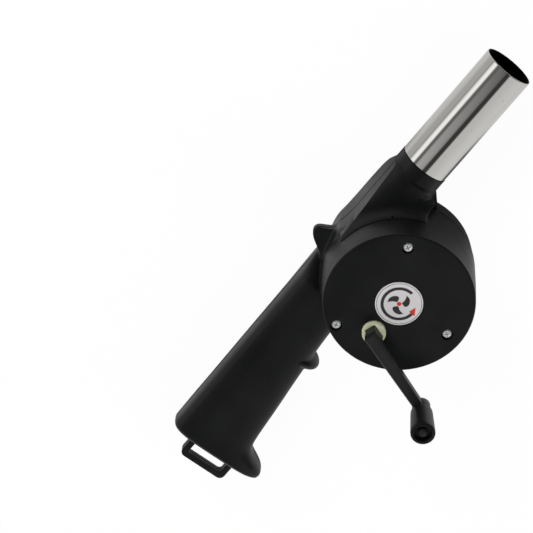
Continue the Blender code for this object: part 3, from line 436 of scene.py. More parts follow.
steel = {
    "colour": (0.70, 0.69, 0.67),
    "stain": (0.60, 0.585, 0.56),
    "spot": (0.42, 0.40, 0.37),
    "roughness": (0.03, 0.08),
    # painted shade: inside the bore the colour is near black to stand for the shade in the tube; the
    # dullness is the real rougher steel
    "bore": (0.0121, 0.0123),  # inside this radius the steel is dull and dark
    "paintedBoreShade": (0.012, 0.012, 0.012),
}


def makePolishedSteel(name, look):
    material, tree, shader = startMaterial(name, metallic=1.0)
    # polishing lines run along the tube
    along = cloud(tree, 1500, 3, 0.6, (1, 0.012, 1))
    broad = cloud(tree, 260, 2, 0.5, (1, 0.02, 1))
    spots = ranged(tree, cloud(tree, 420, 3, 0.6), 0.70, 0.76)
    tone = ranged(tree, broad, 0.35, 0.65, (0.0, 0.55))
    outside = blended(tree, spots, blended(tree, tone, look["colour"], look["stain"]), look["spot"])
    rough = plus(tree, ranged(tree, along, 0.3, 0.7, look["roughness"]), times(tree, spots, 0.12))
    # the bore is unpolished, so rougher, and its near-black colour is painted shade; it is told from the
    # outside by its distance from the tube's middle
    across = vectorMath(tree, "MULTIPLY", coordinates(tree), (1, 0, 1))
    away = vectorMath(tree, "DISTANCE", across, tubeMiddle)
    inside = ranged(tree, away, *look["bore"], (1.0, 0.0))
    colour = blended(tree, inside, outside, look["paintedBoreShade"])
    height = plus(tree, along, times(tree, broad, 0.6))
    bump = bumped(tree, height, 0.25, 0.000004)
    rough = plus(tree, rough, times(tree, inside, 0.6))
    fill(shader, Base_Color=colour, Roughness=rough, Normal=bump)
    return material


housingBlack = makeBlackPlastic("black plastic, housing", blackPlastic, (1, 0.05, 1))
coverBlack = makeBlackPlastic("black plastic, gear cover", blackPlastic, (0.05, 1, 1))
armLook = {**blackPlastic, "dark": (0.0125, 0.0127, 0.0130), "pale": (0.0165, 0.0167, 0.0170)}
armBlack = makeBlackPlastic("black plastic, crank arm", armLook, (0.05, 1, 1))
crankBlack = makeBlackPlastic("black plastic, knob and impeller", blackPlastic, (0.05, 1, 1))
creamNylon = makeMottled("cream nylon", nylon)
tubeSteel = makePolishedSteel("polished stainless steel", steel)
screwZinc = makeMottled("zinc plated steel", zinc)
pinSteel = makeMottled("bright steel pin", {**zinc, "roughness": (0.12, 0.22)})
labelFilm = makeMottled("pale label film", film)
labelInk = makeMottled("black ink", ink)
redTones = ((0.55, 0.030, 0.022), (0.48, 0.035, 0.028))
labelAccent = makeMottled("red ink", {**ink, "colours": redTones})


def dress(piece, material, bodyName, node=None):
    # material, body and the CAD node that it stands for
    piece.data.materials.clear()
    piece.data.materials.append(material)
    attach(piece, bodyName)
    if node:
        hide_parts(node)


print("materials made")

# housing: drum, duct, handle, horn, nub, collar and loop grown into one skin, then cut in two

housing = {
    "skin": 0.00048,  # size of the skin's facets
    "relax": 4,
    "backRounding": 0.0030,
    "draft": 0.0006,
    "duct": [
        # y, left from the drum's side, right, front height, back raise,
        # squareness in front, squareness behind, overhang in front that the side's cut takes off
        (-0.0100, 0.0016, -0.0120, 0.0118, 0.0, 4.0, 9.0, 0.0),
        (0.0030, -0.0009, -0.0118, 0.0128, 0.0, 6.0, 12.0, 0.0004),
        (0.0090, -0.0005, -0.0118, 0.0130, 0.0, 7.0, 13.0, 0.0016),
        (0.0190, -0.0003, -0.0114, 0.0132, 0.0, 5.5, 13.0, 0.0026),
        (0.0265, -0.0003, -0.0110, 0.0131, 0.0, 3.6, 12.0, 0.0022),
        (0.0340, -0.0003, -0.0112, 0.0128, 0.0, 2.7, 10.0, 0.0020),
        (0.0405, -0.0003, -0.0122, 0.0124, 0.0003, 2.35, 6.5, 0.0015),
        (0.0440, -0.0004, -0.0132, 0.0123, 0.0012, 2.2, 3.6, 0.0012),
        (0.0470, -0.0006, -0.0136, 0.0124, 0.0024, 2.05, 2.2, 0.0006),
    ],
    "side": [
        # outline of what is cut away beside the duct
        (-0.0400, 0.0030), (-0.0390, 0.0065), (-0.0384, 0.0100), (-0.0381, 0.0150),
        (-0.0381, 0.0463), (-0.0400, 0.0475), (-0.0600, 0.0475), (-0.0600, 0.0030),
    ],
    "cove": [
        # radius and height of the hollow curve from the drum's wall to the duct's front
        (0.0372, 0.0336), (0.0381, 0.0331), (0.0386, 0.0324), (0.0391, 0.0314),
        (0.0396, 0.0303), (0.0403, 0.0291), (0.0412, 0.0281), (0.0422, 0.0274),
        (0.0434, 0.0269), (0.0450, 0.0266),
    ],
    "coveReach": ((-0.0386, 0.0030), (-0.0118, 0.0450)),
    "coveRoot": (0.0350, 0.0200),  # inner radius and foot of the ring that carries it
    "soft": [
        # radius and height of a corner to soften, reach, passes, angles from and to
        (0.0400, 0.0298, 0.0048, 28, 90, 172),
        (0.0383, 0.0186, 0.0030, 30, 163, 203),
        (0.0383, 0.0110, 0.0026, 20, 163, 203),
    ],
    "gateMark": (-0.0258, 0.0280, 0.0007, 0.0014),  # x, y, radius, depth
    "handleEnd": -0.1372,
    "hollow": (0.0030, -0.0175),  # wall at the handle's end, y where the hollow stops
    "hollowEdge": [(-0.1404, 0.0010), (0.0, -0.0080)],
    "handleFront": [(-0.1404, 0.0125), (-0.0280, 0.0125), (-0.0130, 0.0022), (0.0045, 0.0016)],
    "handleBack": [(-0.1404, 0.0125), (-0.0600, 0.0125), (-0.0200, 0.0140), (0.0000, 0.0145)],
    "frontSquareness": 3.8,
    "backSquareness": [(-0.1404, 2.2), (-0.0400, 2.2), (-0.0100, 3.5), (0.0000, 6.0)],
    "endRounding": 0.0030,
    "backEdge": [
        (-0.1372, -0.0330), (-0.1368, -0.0354), (-0.1360, -0.0369), (-0.1350, -0.0377),
        (-0.1340, -0.0380), (-0.1000, -0.0382), (-0.0600, -0.0385), (-0.0300, -0.0386),
        (-0.0100, -0.0382), (0.0045, -0.0384),
    ],
    "frontEdge": [
        (-0.1372, 0.0080), (-0.1366, 0.0118), (-0.1354, 0.0148), (-0.1342, 0.0156),
        (-0.1326, 0.0154), (-0.1308, 0.0140), (-0.1290, 0.0113), (-0.1272, 0.0078),
        (-0.1250, 0.0046), (-0.1215, 0.0022), (-0.1180, 0.0013), (-0.1100, 0.0002),
        (-0.1000, -0.0009), (-0.0900, -0.0021), (-0.0800, -0.0034), (-0.0500, -0.0066),
        (0.0045, -0.0100),
    ],
    "nub": ((-0.0098, -0.0650, 0.0150), (0.0108, 0.0046, 0.0119)),  # middle, reach
    "horn": [
        (-0.0340, 0.0065), (-0.0380, 0.0065), (-0.0388, 0.0030), (-0.0392, 0.0006),
        (-0.0405, -0.0010), (-0.0425, -0.0022), (-0.0450, -0.0036), (-0.0462, -0.0046),
        (-0.0468, -0.0063), (-0.0464, -0.0079), (-0.0454, -0.0093), (-0.0436, -0.0108),
        (-0.0410, -0.0123), (-0.0378, -0.0142), (-0.0350, -0.0165), (-0.0320, -0.0165),
    ],
    "hornHeights": (-0.0036, 0.0007, 0.0030),  # underside, top at the tip, top at the drum's wall
    "loop": (-0.0242, 0.0025, -0.1500, 0.0032, 0.0048, 0.0030),  # left, right, end, bar, thickness, corner
    "web": [(-0.0175, 0.0450), (-0.0127, 0.0458), (-0.0052, 0.0378), (-0.0052, 0.0340), (-0.0175, 0.0320)],
    "webThickness": 0.0030,
    "collar": (0.0461, 0.0002),  # start, how far it stands out past the tube
    "spare": 0.0020,  # length of the collar that is trimmed off, and of the spigot inside it
    "spigot": (0.0117, 0.0693, 0.0006),  # radius, end, chamfer
    "bore": (0.0099, 0.0431, 0.0750),  # radius, start, end
    "bearings": (0.0040, 0.0060, 0.0287),  # radius, top of the back one, foot of the front one
    "columns": (0.0031, 0.0040),  # radius round the screws in the drum and in the handle
    "sink": (0.0029, 0.0004),  # radius and chamfer of the counterbores
    "shaftHole": 0.0016,
}


def handleSections(spacing):
    sections = []
    end = housing["handleEnd"]
    for y in steps(end, 0.0045, spacing):
        left, right = (eased(housing[side], y) for side in ("backEdge", "frontEdge"))
        share = 1 - 0.30 * max(0.0, 1 - (y - end) / housing["endRounding"]) ** 2
        front, back = (eased(housing[side], y) * share for side in ("handleFront", "handleBack"))
        squares = housing["frontSquareness"], eased(housing["backSquareness"], y)
        sections.append((y, left, right, front, back, *squares, 0.0))
    return sections


def ductSections(inset, spacing):
    keys = housing["duct"]
    sections = []
    for y in steps(keys[0][0], keys[-1][0], spacing):
        values = [eased([(k[0], k[n]) for k in keys], y) for n in range(1, 8)]
        left, right, up, lift, front, back, overhang = values
        left += inset - body["drumRadius"]
        down = body["parting"] - lift - inset
        sections.append((y, left, right - inset, up - inset, down, front, back, 0.0 if inset else overhang))
    return sections


def makeHorn():
    # a thin fin whose top slopes up from its tip to the drum's wall
    low, tipHeight, rootHeight = (body["parting"] + z for z in housing["hornHeights"])
    tip = min(x for x, y in housing["horn"])
    horn = plate("horn", housing["horn"], low, tipHeight)
    slope = (rootHeight - tipHeight) / (-body["drumRadius"] - tip)
    for corner in horn.data.vertices:
        if corner.co.z > body["parting"]:
            corner.co.z += slope * (corner.co.x - tip)
    return horn


def makeCove():
    # the hollow curve between the drum's wall and the duct's front
    inner, foot = housing["coveRoot"]
    curve = housing["cove"]
    line = [(inner, foot), (inner, curve[0][1]), *curve, (curve[-1][0], foot)]
    cove = turned("cove", line, 256, ring=True)
    low, high = housing["coveReach"]
    return combine(cove, "INTERSECT", [box("reach", (*low, 0.0), (*high, 0.1))])


def softenCorner(skin, radius, height, reach, passes, first, last):
    # vertices near a corner of the drum's wall are drawn together, less so at both ends
    group = skin.vertex_groups.new(name="corner")
    for corner in skin.data.vertices:
        x, y, z = corner.co
        away = math.hypot(math.hypot(x, y) - radius, z - height)
        if away < reach:
            angle = math.degrees(math.atan2(y, x)) % 360
            edge = min(1.0, (angle - first) / 6, (last - angle) / 6)
            if edge > 0:
                group.add([corner.index], edge * (1 - away / reach) ** 0.5, "REPLACE")
    modify(skin, "SMOOTH", factor=0.5, iterations=passes, vertex_group=group.name)


alongTube = Matrix.Rotation(math.radians(-90), 4, "X")


def rodAlongTube(name, radius, start, end, sides=96, chamfer=0.0):
    profile = [(radius, start), (radius, end - chamfer)]
    if chamfer:
        profile.append((radius - chamfer, end))
    return turned(name, profile, sides, at=tubeMiddle, matrix=alongTube)


def makeNub():
    centre, radii = housing["nub"]
    shape = bmesh.new()
    bmesh.ops.create_icosphere(shape, subdivisions=5, radius=1.0)
    stretch = Matrix.Translation(centre) @ Matrix.Diagonal((*radii, 1))
    bmesh.ops.transform(shape, matrix=stretch, verts=shape.verts)
    return takeMesh("nub", shape)


def makeHousingSkin():
    radius, rounding, parting = body["drumRadius"], housing["backRounding"], body["parting"]
    edge, rim = radius - housing["draft"], body["coverSeat"]
    profile = arcPoints(edge - rounding, rounding, rounding, -90, 0, 10)
    profile += [(radius, parting), (edge, rim), (edge, rim + 0.003)]
    start, proud = housing["collar"]
    halfWeb = housing["webThickness"] / 2
    grown = [
        turned("drum", profile, 192),
        loft("duct", ductSections(0.0, 0.0015), 96),
        loft("handle", handleSections(0.0012), 96),
        rodAlongTube("collar", body["tubeRadius"] + proud, start, body["collarEnd"] + housing["spare"]),
        makeNub(),
        plate("web", housing["web"], parting - halfWeb, parting + halfWeb),
        makeHorn(),
        makeCove(),
    ]
    skin = joined("housing skin", grown)
    modify(skin, "REMESH", mode="VOXEL", voxel_size=housing["skin"])
    modify(skin, "SMOOTH", factor=0.5, iterations=housing["relax"])
    for corner in housing["soft"]:
        softenCorner(skin, *corner)
    # the flat side of the duct, with its crisp edge
    return combine(skin, "DIFFERENCE", [plate("side", housing["side"], -0.01, 0.06)])


def makeLoop():
    left, right, end, bar, thick, corner = housing["loop"]
    root = housing["handleEnd"] + 0.006
    outer = roundedBox(left, right, end, root, corner)
    inner = roundedBox(left + bar, right - bar, end + bar, root - bar / 2, corner * 0.6)
    low, high = body["parting"] - thick / 2, body["parting"] + thick / 2
    loop = plate("loop", outer, low, high)
    combine(loop, "DIFFERENCE", [plate("loop hole", inner, low - 0.001, high + 0.001)])
    modify(loop, "BEVEL", width=0.0005, segments=3, limit_method="ANGLE")
    return loop


def makeAirWay():
    # the open inside: chamber, duct and bore, round the bearings and the columns of the screws
    wall, columnRadius = body["wall"], housing["columns"][0]
    radius, backTop, frontFoot = housing["bearings"]
    chamber = rod("chamber", body["drumRadius"] - wall, wall, body["coverSeat"] - wall, 128)
    path = loft("duct inside", ductSections(wall, 0.004), 48)
    combine(chamber, "UNION", [path, rodAlongTube("bore", *housing["bore"], 64)])
    solid = [rod("bearing", radius, -0.005, backTop, 48), rod("bearing", radius, frontFoot, 0.05, 48)]
    solid += [rod("column", columnRadius, -0.01, 0.05, 32, at=spot) for spot in drumScrews]
    return combine(chamber, "DIFFERENCE", solid)


def makeHandleHollow():
    wall, columnRadius = body["wall"], housing["columns"][1]
    endWall, stop = housing["hollow"]
    sections = []
    for y in steps(housing["handleEnd"] + endWall, stop, 0.01):
        left = eased(housing["backEdge"], y) + wall
        right = eased(housing["hollowEdge"], y) - wall
        front, back = (eased(housing[side], y) - wall for side in ("handleFront", "handleBack"))
        sections.append((y, left, right, front, back, 2.5, 2.5, 0.0))
    solid = [rod("column", columnRadius, 0.0, 0.05, 24, at=spot) for spot in body["handleScrews"]]
    solid.append(rod("drum wall", body["drumRadius"], -0.005, 0.05, 128))
    return combine(loft("handle inside", sections, 32), "DIFFERENCE", solid)


inlet = {
    "rings": 3,
    "first": 0.0080,  # inner radius of the first ring of slots
    "pitch": 0.0062,
    "width": 0.0034,
    "spokes": 6,
    "spoke": 0.0014,  # half the width of a spoke
    "turn": 3.7,
    "mouth": ((-0.001, 0.0006), (0.0, 0.0005), (0.0005, 0.0), (0.0032, 0.0)),  # height, wider by
}


def makeInletSlots():
    # ring-shaped slots round the back bearing, with a flared mouth
    slots = []
    half = 180 / inlet["spokes"]
    for ring in range(inlet["rings"]):
        inner = inlet["first"] + ring * inlet["pitch"]
        count = 12 + 4 * ring
        for number in range(inlet["spokes"]):
            middle = inlet["turn"] + 2 * half * (number + 0.5 * (ring % 2))
            levels = []
            for height, grow in inlet["mouth"]:
                line = []
                for radius, way in ((inner + inlet["width"] + grow, 1), (inner - grow, -1)):
                    reach = way * (half - math.degrees(math.asin((inlet["spoke"] - grow) / radius)))
                    line += arcPoints(0, 0, radius, middle - reach, middle + reach, count)
                levels.append((line, height))
            slots.append(stackedOutlines("slot", levels))
    return joined("inlet slots", slots)


rim = body["coverSeat"] - body["coverSeam"] / 2
skin = makeHousingSkin()
print("housing skin:", len(skin.data.polygons), "faces")
combine(skin, "UNION", [makeLoop()])
combine(skin, "DIFFERENCE", [beyond("z", rim), beyond("y", body["collarEnd"])])
radius, end, chamfer = housing["spigot"]
start = body["collarEnd"] - housing["spare"]
combine(skin, "UNION", [rodAlongTube("spigot", radius, start, end, 64, chamfer)])
combine(skin, "DIFFERENCE", [makeAirWay(), makeHandleHollow()])
backShell = skin
frontShell = skin.copy()
frontShell.data = skin.data.copy()
scene.collection.objects.link(frontShell)
frontShell.name, backShell.name = "frontShell", "backShell"
half = body["seam"] / 2
combine(frontShell, "DIFFERENCE", [beyond("z", body["parting"] + half, -1)])
combine(backShell, "DIFFERENCE", [beyond("z", body["parting"] - half)])
radius, chamfer = housing["sink"]
sinks = []
for x, y, depth in bodyScrews:
    profile = [(radius + chamfer, -0.002), (radius + chamfer, 0.0), (radius, chamfer), (radius, depth)]
    sinks.append(turned("sink", profile, 40, at=(x, y, 0)))
combine(backShell, "DIFFERENCE", [makeInletSlots(), *sinks])
x, y, radius, depth = housing["gateMark"]
gateMark = turned("gate mark", [(radius * 0.8, rim - depth), (radius, rim + 0.002)], 24, at=(x, y, 0))
combine(frontShell, "DIFFERENCE", [rod("shaft hole", housing["shaftHole"], 0.02, 0.05, 32), gateMark])
for shell, node in ((frontShell, "front_shell"), (backShell, "back_shell")):
    softShade(shell, 28)
    dress(shell, housingBlack, "housing", node)
print("shells:", len(frontShell.data.polygons), len(backShell.data.polygons), "faces")

# gear cover

cover = {
    "radius": 0.0374,
    "draft": 0.0008,
    "rounding": 0.0008,
    "wall": 0.0016,
    "top": 0.0022,
    "sides": 192,
    "hubHole": 0.0060,
    "labelRadius": 0.0118,
    "labelDepth": 0.0004,
    "sleeve": (0.0038, 0.0046),  # radius round a screw, depth
    "headDepth": 0.0026,
    "screwHole": (0.0029, 0.00165),  # radius for the head and for the shank
}


def makeGearCover():
    low, face = body["coverSeat"] + body["coverSeam"] / 2, body["coverFace"]
    edge, rounding = cover["radius"] - cover["draft"], cover["rounding"]
    inside, under = cover["radius"] - cover["wall"], face - cover["top"]
    profile = [(0.002, under), (inside, under), (inside, low)]
    profile += [(cover["radius"] - 0.0001, low), (cover["radius"], low + 0.0001)]
    profile += arcPoints(edge - rounding, face - rounding, rounding, 0, 90, 8) + [(0.002, face)]
    shell = turned("gearCover", profile, cover["sides"], ring=True)
    radius, depth = cover["sleeve"]
    solid = [rod("middle", 0.004, under, face, 32)]
    solid += [rod("sleeve", radius, face - depth, face - 0.0008, 40, at=spot) for spot in coverScrews]
    combine(shell, "UNION", solid)
    floor = face - cover["headDepth"]
    wide, narrow = cover["screwHole"]
    profile = [(narrow, floor - 0.004), (narrow, floor), (wide, floor)]
    profile += [(wide, face - 0.0002), (wide + 0.0003, face + 0.0001), (wide + 0.0003, face + 0.001)]
    cuts = [turned("screw hole", profile, 48, at=(*spot, 0)) for spot in coverScrews]
    hub = cover["hubHole"]
    profile = [(hub, face - 0.004), (hub, face - 0.0003)]
    profile += [(hub + 0.0004, face + 0.0001), (hub + 0.0004, face + 0.001)]
    cuts.append(turned("hub hole", profile, 96, at=(*body["crankAxis"], 0)))
    radius = cover["labelRadius"]
    profile = [(radius, face - cover["labelDepth"]), (radius + 0.0002, face + 0.001)]
    cuts.append(turned("label recess", profile, 128))
    combine(shell, "DIFFERENCE", cuts)
    softShade(shell, 28)
    return shell


dress(makeGearCover(), coverBlack, "housing", "gear_cover")
print("gear cover made")

# label, with a plain turning arrow round a fan of three blades

label = {
    "radius": 0.0115,
    "low": 0.04875,
    "high": 0.04915,
    "print": 0.00003,
    "turn": 60.0,
    "ring": (0.01065, 0.01085),  # inner and outer radius
    "arrow": (0.0074, 0.0089, 20, 296),  # inner and outer radius, angles from and to
    "arrowHead": ((0.0063, 296), (0.0100, 296), (0.0081, 324)),  # radius, angle
    "dot": 0.0011,
}


def makeLabel():
    r, low, high = label["radius"], label["low"], label["high"]
    profile = [(r - 0.0001, low), (r, low + 0.0001), (r, high - 0.00012), (r - 0.00012, high), (0.001, high)]
    return turned("label", profile, 128)


def band(inner, outer, start, end, count=24):
    return arcPoints(0, 0, outer, start, end, count) + arcPoints(0, 0, inner, end, start, count)


def printed(name, outlines):
    # ink of a hair's thickness on the film
    low, high = label["high"] - 0.00002, label["high"] + label["print"]
    turn = Matrix.Rotation(math.radians(label["turn"]), 2)
    spun = [[tuple(turn @ Vector(point)) for point in line] for line in outlines]
    return joined(name, [plate("print", line, low, high) for line in spun])


def blade(middle):
    # one curved fan blade
    shares = [i / 14 for i in range(15)]
    lead = [(0.0015 + 0.0042 * t, middle + 30 * t) for t in shares]
    width = [64 * math.sin(math.pi * (0.12 + 0.80 * t)) ** 0.8 for t in shares]
    trail = [(r, a - w) for (r, a), w in zip(lead, width)]
    return [polar(r, a) for r, a in lead + trail[::-1]]


dress(makeLabel(), labelFilm, "housing", "label_disc")
blackPrint = [band(*label["ring"], 0, 359.9, 96), band(*label["arrow"]), *(blade(a) for a in (0, 120, 240))]
redPrint = [[polar(r, a) for r, a in label["arrowHead"]], arcPoints(0, 0, label["dot"], 0, 350, 35)]
dress(printed("labelPrint", blackPrint), labelInk, "housing")
dress(printed("labelAccent", redPrint), labelAccent, "housing")
print("label made")

# outlet tube

tube = {
    "start": 0.0536,
    "end": 0.1159,
    "wall": 0.0006,
    "sides": 160,
}


def makeTube():
    outer, start, end = body["tubeRadius"], tube["start"], tube["end"]
    inner, bead = outer - tube["wall"], tube["wall"] / 2
    along = steps(start + 0.004, end - 0.002, 0.008)
    profile = [(inner, start), (outer - 0.0001, start), (outer, start + 0.0001)]
    profile += [(outer, y) for y in along] + [(outer, end - bead - 0.0001)]
    profile += arcPoints((outer + inner) / 2, end - bead, bead, 0, 180, 8)  # rolled mouth
    profile += [(inner, y) for y in reversed(along)]
    return turned("outletTube", profile, tube["sides"], ring=True, at=tubeMiddle, matrix=alongTube)


dress(makeTube(), tubeSteel, "housing", "outlet_tube")
print("tube made")

# crank gear, with the hub that shows as a cream ring

gear = {
    "teeth": 32,
    "module": 0.0008,
    "pressure": 25.0,
    "backlash": 0.00016,
    "low": 0.0406,
    "high": 0.0454,
    "foot": 0.0012,  # the hub is wider by this below the cover
    "hubRadius": 0.0058,
    "hubTop": 0.0511,
    "bore": 0.00195,
}

key = {
    "length": 0.0076,  # along the arm
    "width": 0.0055,
    "corner": 0.0005,
    "low": 0.0463,
    "clearance": 0.00012,
}


def keyPlan(grow):
    # the crank's flat-sided root, or its socket in the hub, seen from above
    length, width = key["length"] / 2 + grow, key["width"] / 2 + grow
    return onArm(roundedBox(-length, length, -width, width, key["corner"], 3))


def onArm(points):
    # from along and across the arm to the blower's own x and y
    turn = Matrix.Rotation(math.radians(body["armAngle"]), 2)
    cx, cy = body["crankAxis"]
    return [(cx + p.x, cy + p.y) for p in (turn @ Vector(point) for point in points)]


def gearOutline():
    # involute teeth, with their root outside the base circle
    module, teeth = gear["module"], gear["teeth"]
    pitch = teeth * module / 2
    pressure = math.radians(gear["pressure"])
    base = pitch * math.cos(pressure)
    tip, root = pitch + 0.95 * module, pitch - 1.2 * module
    halfTooth = (math.pi * module / 2 - gear["backlash"] / 2) / (2 * pitch)
    side = []
    for i in range(7):
        radius = root + (tip - root) * i / 6
        spread = math.acos(base / radius)
        side.append((radius, halfTooth + (math.tan(pressure) - pressure) - (math.tan(spread) - spread)))
    points = []
    cx, cy = body["crankAxis"]
    for tooth in range(teeth):
        middle = 2 * math.pi * tooth / teeth
        turns = [(r, middle - a) for r, a in side] + [(r, middle + a) for r, a in reversed(side)]
        points += [(cx + r * math.cos(a), cy + r * math.sin(a)) for r, a in turns]
    return points


def makeCrankGear():
    wheel = plate("crankGear", gearOutline(), gear["low"], gear["high"])
    axis = body["crankAxis"]
    r, top, foot = gear["hubRadius"], gear["hubTop"], gear["hubRadius"] + gear["foot"]
    profile = [(foot, gear["high"] - 0.001), (foot, 0.0465), (r, 0.0465)]
    profile += [(r, top - 0.0005), (r - 0.00015, top - 0.00015), (r - 0.0005, top)]
    combine(wheel, "UNION", [turned("hub", profile, 96, at=(*axis, 0))])
    plan, wide = keyPlan(key["clearance"]), keyPlan(key["clearance"] + 0.0002)
    levels = [(plan, key["low"] - 0.0003), (plan, top - 0.0002), (wide, top + 0.0001), (wide, top + 0.001)]
    bore = rod("bore", gear["bore"], gear["low"] - 0.001, 0.0451, 32, at=axis)
    combine(wheel, "DIFFERENCE", [stackedOutlines("socket", levels), bore])
    softShade(wheel, 28)
    return wheel


dress(makeCrankGear(), creamNylon, "crank", "crank_gear")
print("crank gear made")

# crank arm: root, arm, end boss and the pin with its snap head

arm = {
    "start": 0.0575,  # middle of the arm above the crank's axis
    "rise": 0.0018,
    "thickness": 0.0058,
    "width": 0.0050,
    "widerRoot": 0.0007,  # added to each side at the root
    "reach": 0.0434,
    "bossRadius": 0.0045,
    "bossDrop": 0.0010,
    "squareness": 4.8,
}

knob = {
    "base": 0.0626,
    "length": 0.0200,
    "profile": [
        # height, radius
        (0.0000, 0.0050), (0.0004, 0.0053), (0.0012, 0.0054),
        (0.0064, 0.0056), (0.0120, 0.0058), (0.0176, 0.0060),
    ],
    "recess": (0.0042, 0.0024),  # radius, depth
    "pin": (0.0016, 0.0023),  # radius, and that of its snap head
    "bore": 0.0018,
    "rounding": (0.0008, 0.0012),  # of the end, across and along
}
snapHead = [(0.0, 0.0), (0.0, 0.0005), (0.0002, 0.0011), (0.0007, 0.0017), (0.0013, 0.0019)]


def makeCrankArm():
    half, reach, square = arm["thickness"] / 2, arm["reach"], arm["squareness"]
    start = -arm["width"] / 2 - (key["length"] - key["width"]) / 2
    places = [(start, 0.0003), (start + 0.0003, 0.0), (0.0, 0.0)]  # along the arm, shrink
    places += [(s, 0.0) for s in steps(0.002, reach, 0.004)]
    loops = []
    for s, shrink in places:
        middle = arm["start"] + arm["rise"] * max(0.0, s / reach)
        wider = arm["widerRoot"] * max(0.0, 1 - s / reach)
        across, up = arm["width"] / 2 - shrink + wider, half - shrink + wider * 0.5
        section = roundSection(-across, across, up, up, square, square, 0.0, 56)
        spots = onArm([(s, side) for side, height in section])
        loops.append([(x, y, middle + height) for (x, y), (side, height) in zip(spots, section)])
    piece = skinned("crankArm", loops)
    root = plate("root", keyPlan(0.0), key["low"], arm["start"])
    top = arm["start"] + arm["rise"] + half
    low = top - arm["thickness"] - arm["bossDrop"]
    r, at = arm["bossRadius"], (*body["knobAxis"], 0)
    profile = [(r - 0.0006, low), (r - 0.0002, low + 0.0002), (r, low + 0.0006)]
    profile += [(r, top - 0.0004), (r - 0.00012, top - 0.00012), (r - 0.0004, top)]
    boss = turned("boss", profile, 64, at=at)
    headLow = knob["base"] + knob["length"] - knob["recess"][1] + 0.0004
    radius, head = knob["pin"]
    profile = [(radius, top - 0.001), (radius, headLow)]
    profile += [(head - inward, headLow + up) for inward, up in snapHead]
    combine(piece, "UNION", [root, boss, turned("pin", profile, 48, at=at)])
    softShade(piece, 30)
    return piece


def makeKnob():
    base, top = knob["base"], knob["base"] + knob["length"]
    (recess, depth), bore, (across, along) = knob["recess"], knob["bore"], knob["rounding"]
    foot, end = knob["profile"][0][0], knob["profile"][-1]
    profile = [(eased(knob["profile"], z), base + z) for z in steps(foot, end[0], 0.0005)]
    # rounded end, then the recess round the pin's head and the bore
    for i in range(1, 9):
        turn = math.radians(90 * i / 8)
        profile.append((end[1] - across * (1 - math.cos(turn)), top - along + along * math.sin(turn)))
    profile += [(recess + 0.0003, top), (recess, top - 0.0003), (recess, top - depth)]
    profile += [(bore, top - depth), (bore, base)]
    return turned("crankKnob", profile, 96, ring=True, at=(*body["knobAxis"], 0), angle=40)


dress(makeCrankArm(), armBlack, "crank", "crank_arm")
dress(makeKnob(), crankBlack, "knob", "crank_knob")
print("crank made")

# screws: pan heads with a cross recess, and a ridged shank

screw = {
    "head": 0.0024,
    "height": 0.0019,
    "shank": 0.00145,
    "root": 0.00112,
    "pitch": 0.0011,
    # share of the height, more, half the length and half the width of the cross
    "recess": ((0.25, 0.0, 0.0007, 0.00020), (1.0, 0.0002, 0.00145, 0.00034)),
    "coverLength": 0.0100,
    "bodyLength": 0.0160,
}


def makeScrew(name, at, length, upward, spin):
    head, tall, shank = screw["head"], screw["height"], screw["shank"]
    profile = [(0.0004, -length), (0.0007, -length + 0.0005)]
    z = -length + 0.0011
    while z < -0.0012:
        profile += [(screw["root"], z), (shank, z + screw["pitch"] * 0.45)]
        z += screw["pitch"]
    profile += [(shank, -0.0004), (shank, 0.0), (head - 0.0001, 0.0), (head, 0.0001)]
    for i in range(9):  # domed head
        turn = math.radians(90 * i / 8)
        across = head * (0.30 + 0.70 * math.cos(turn) ** 0.75)
        profile.append((across, 0.0006 + (tall - 0.0006) * math.sin(turn)))
    piece = turned(name, profile, 40)
    levels = []
    for share, more, long, wide in screw["recess"]:
        levels.append((rectangle(-long, -wide, long, wide), tall * share + more))
    arms = [stackedOutlines("recess", levels) for way in range(2)]
    arms[1].data.transform(Matrix.Rotation(math.radians(90), 4, "Z"))
    combine(piece, "DIFFERENCE", arms)
    flip = Matrix() if upward else Matrix.Rotation(math.pi, 4, "X")
    piece.data.transform(Matrix.Translation(at) @ flip @ Matrix.Rotation(math.radians(spin), 4, "Z"))
    softShade(piece, 34)
    return piece


for number, (x, y) in enumerate(coverScrews, 1):
    place = (x, y, body["coverFace"] - 0.0024)
    piece = makeScrew(f"coverScrew{number}", place, screw["coverLength"], True, 25 + 40 * number)
    dress(piece, screwZinc, "housing", f"cover_screw_{number}")
for number, (x, y, depth) in enumerate(bodyScrews, 1):
    place = (x, y, depth - 0.0002)
    piece = makeScrew(f"bodyScrew{number}", place, screw["bodyLength"], False, 15 + 33 * number)
    dress(piece, screwZinc, "housing", f"body_screw_{number}")
print("screws made")

# CAD nodes whose shape is right get a finish

finishes = {
    "idler_gear": creamNylon,
    "fan_pinion": creamNylon,
    "impeller": crankBlack,
    "impeller_shaft": pinSteel,
    "idler_pin": pinSteel,
}
for name, material in finishes.items():
    for slot in nodes[name].material_slots:
        slot.material = material
print("inner parts finished")

# floor, lamps, surroundings and camera

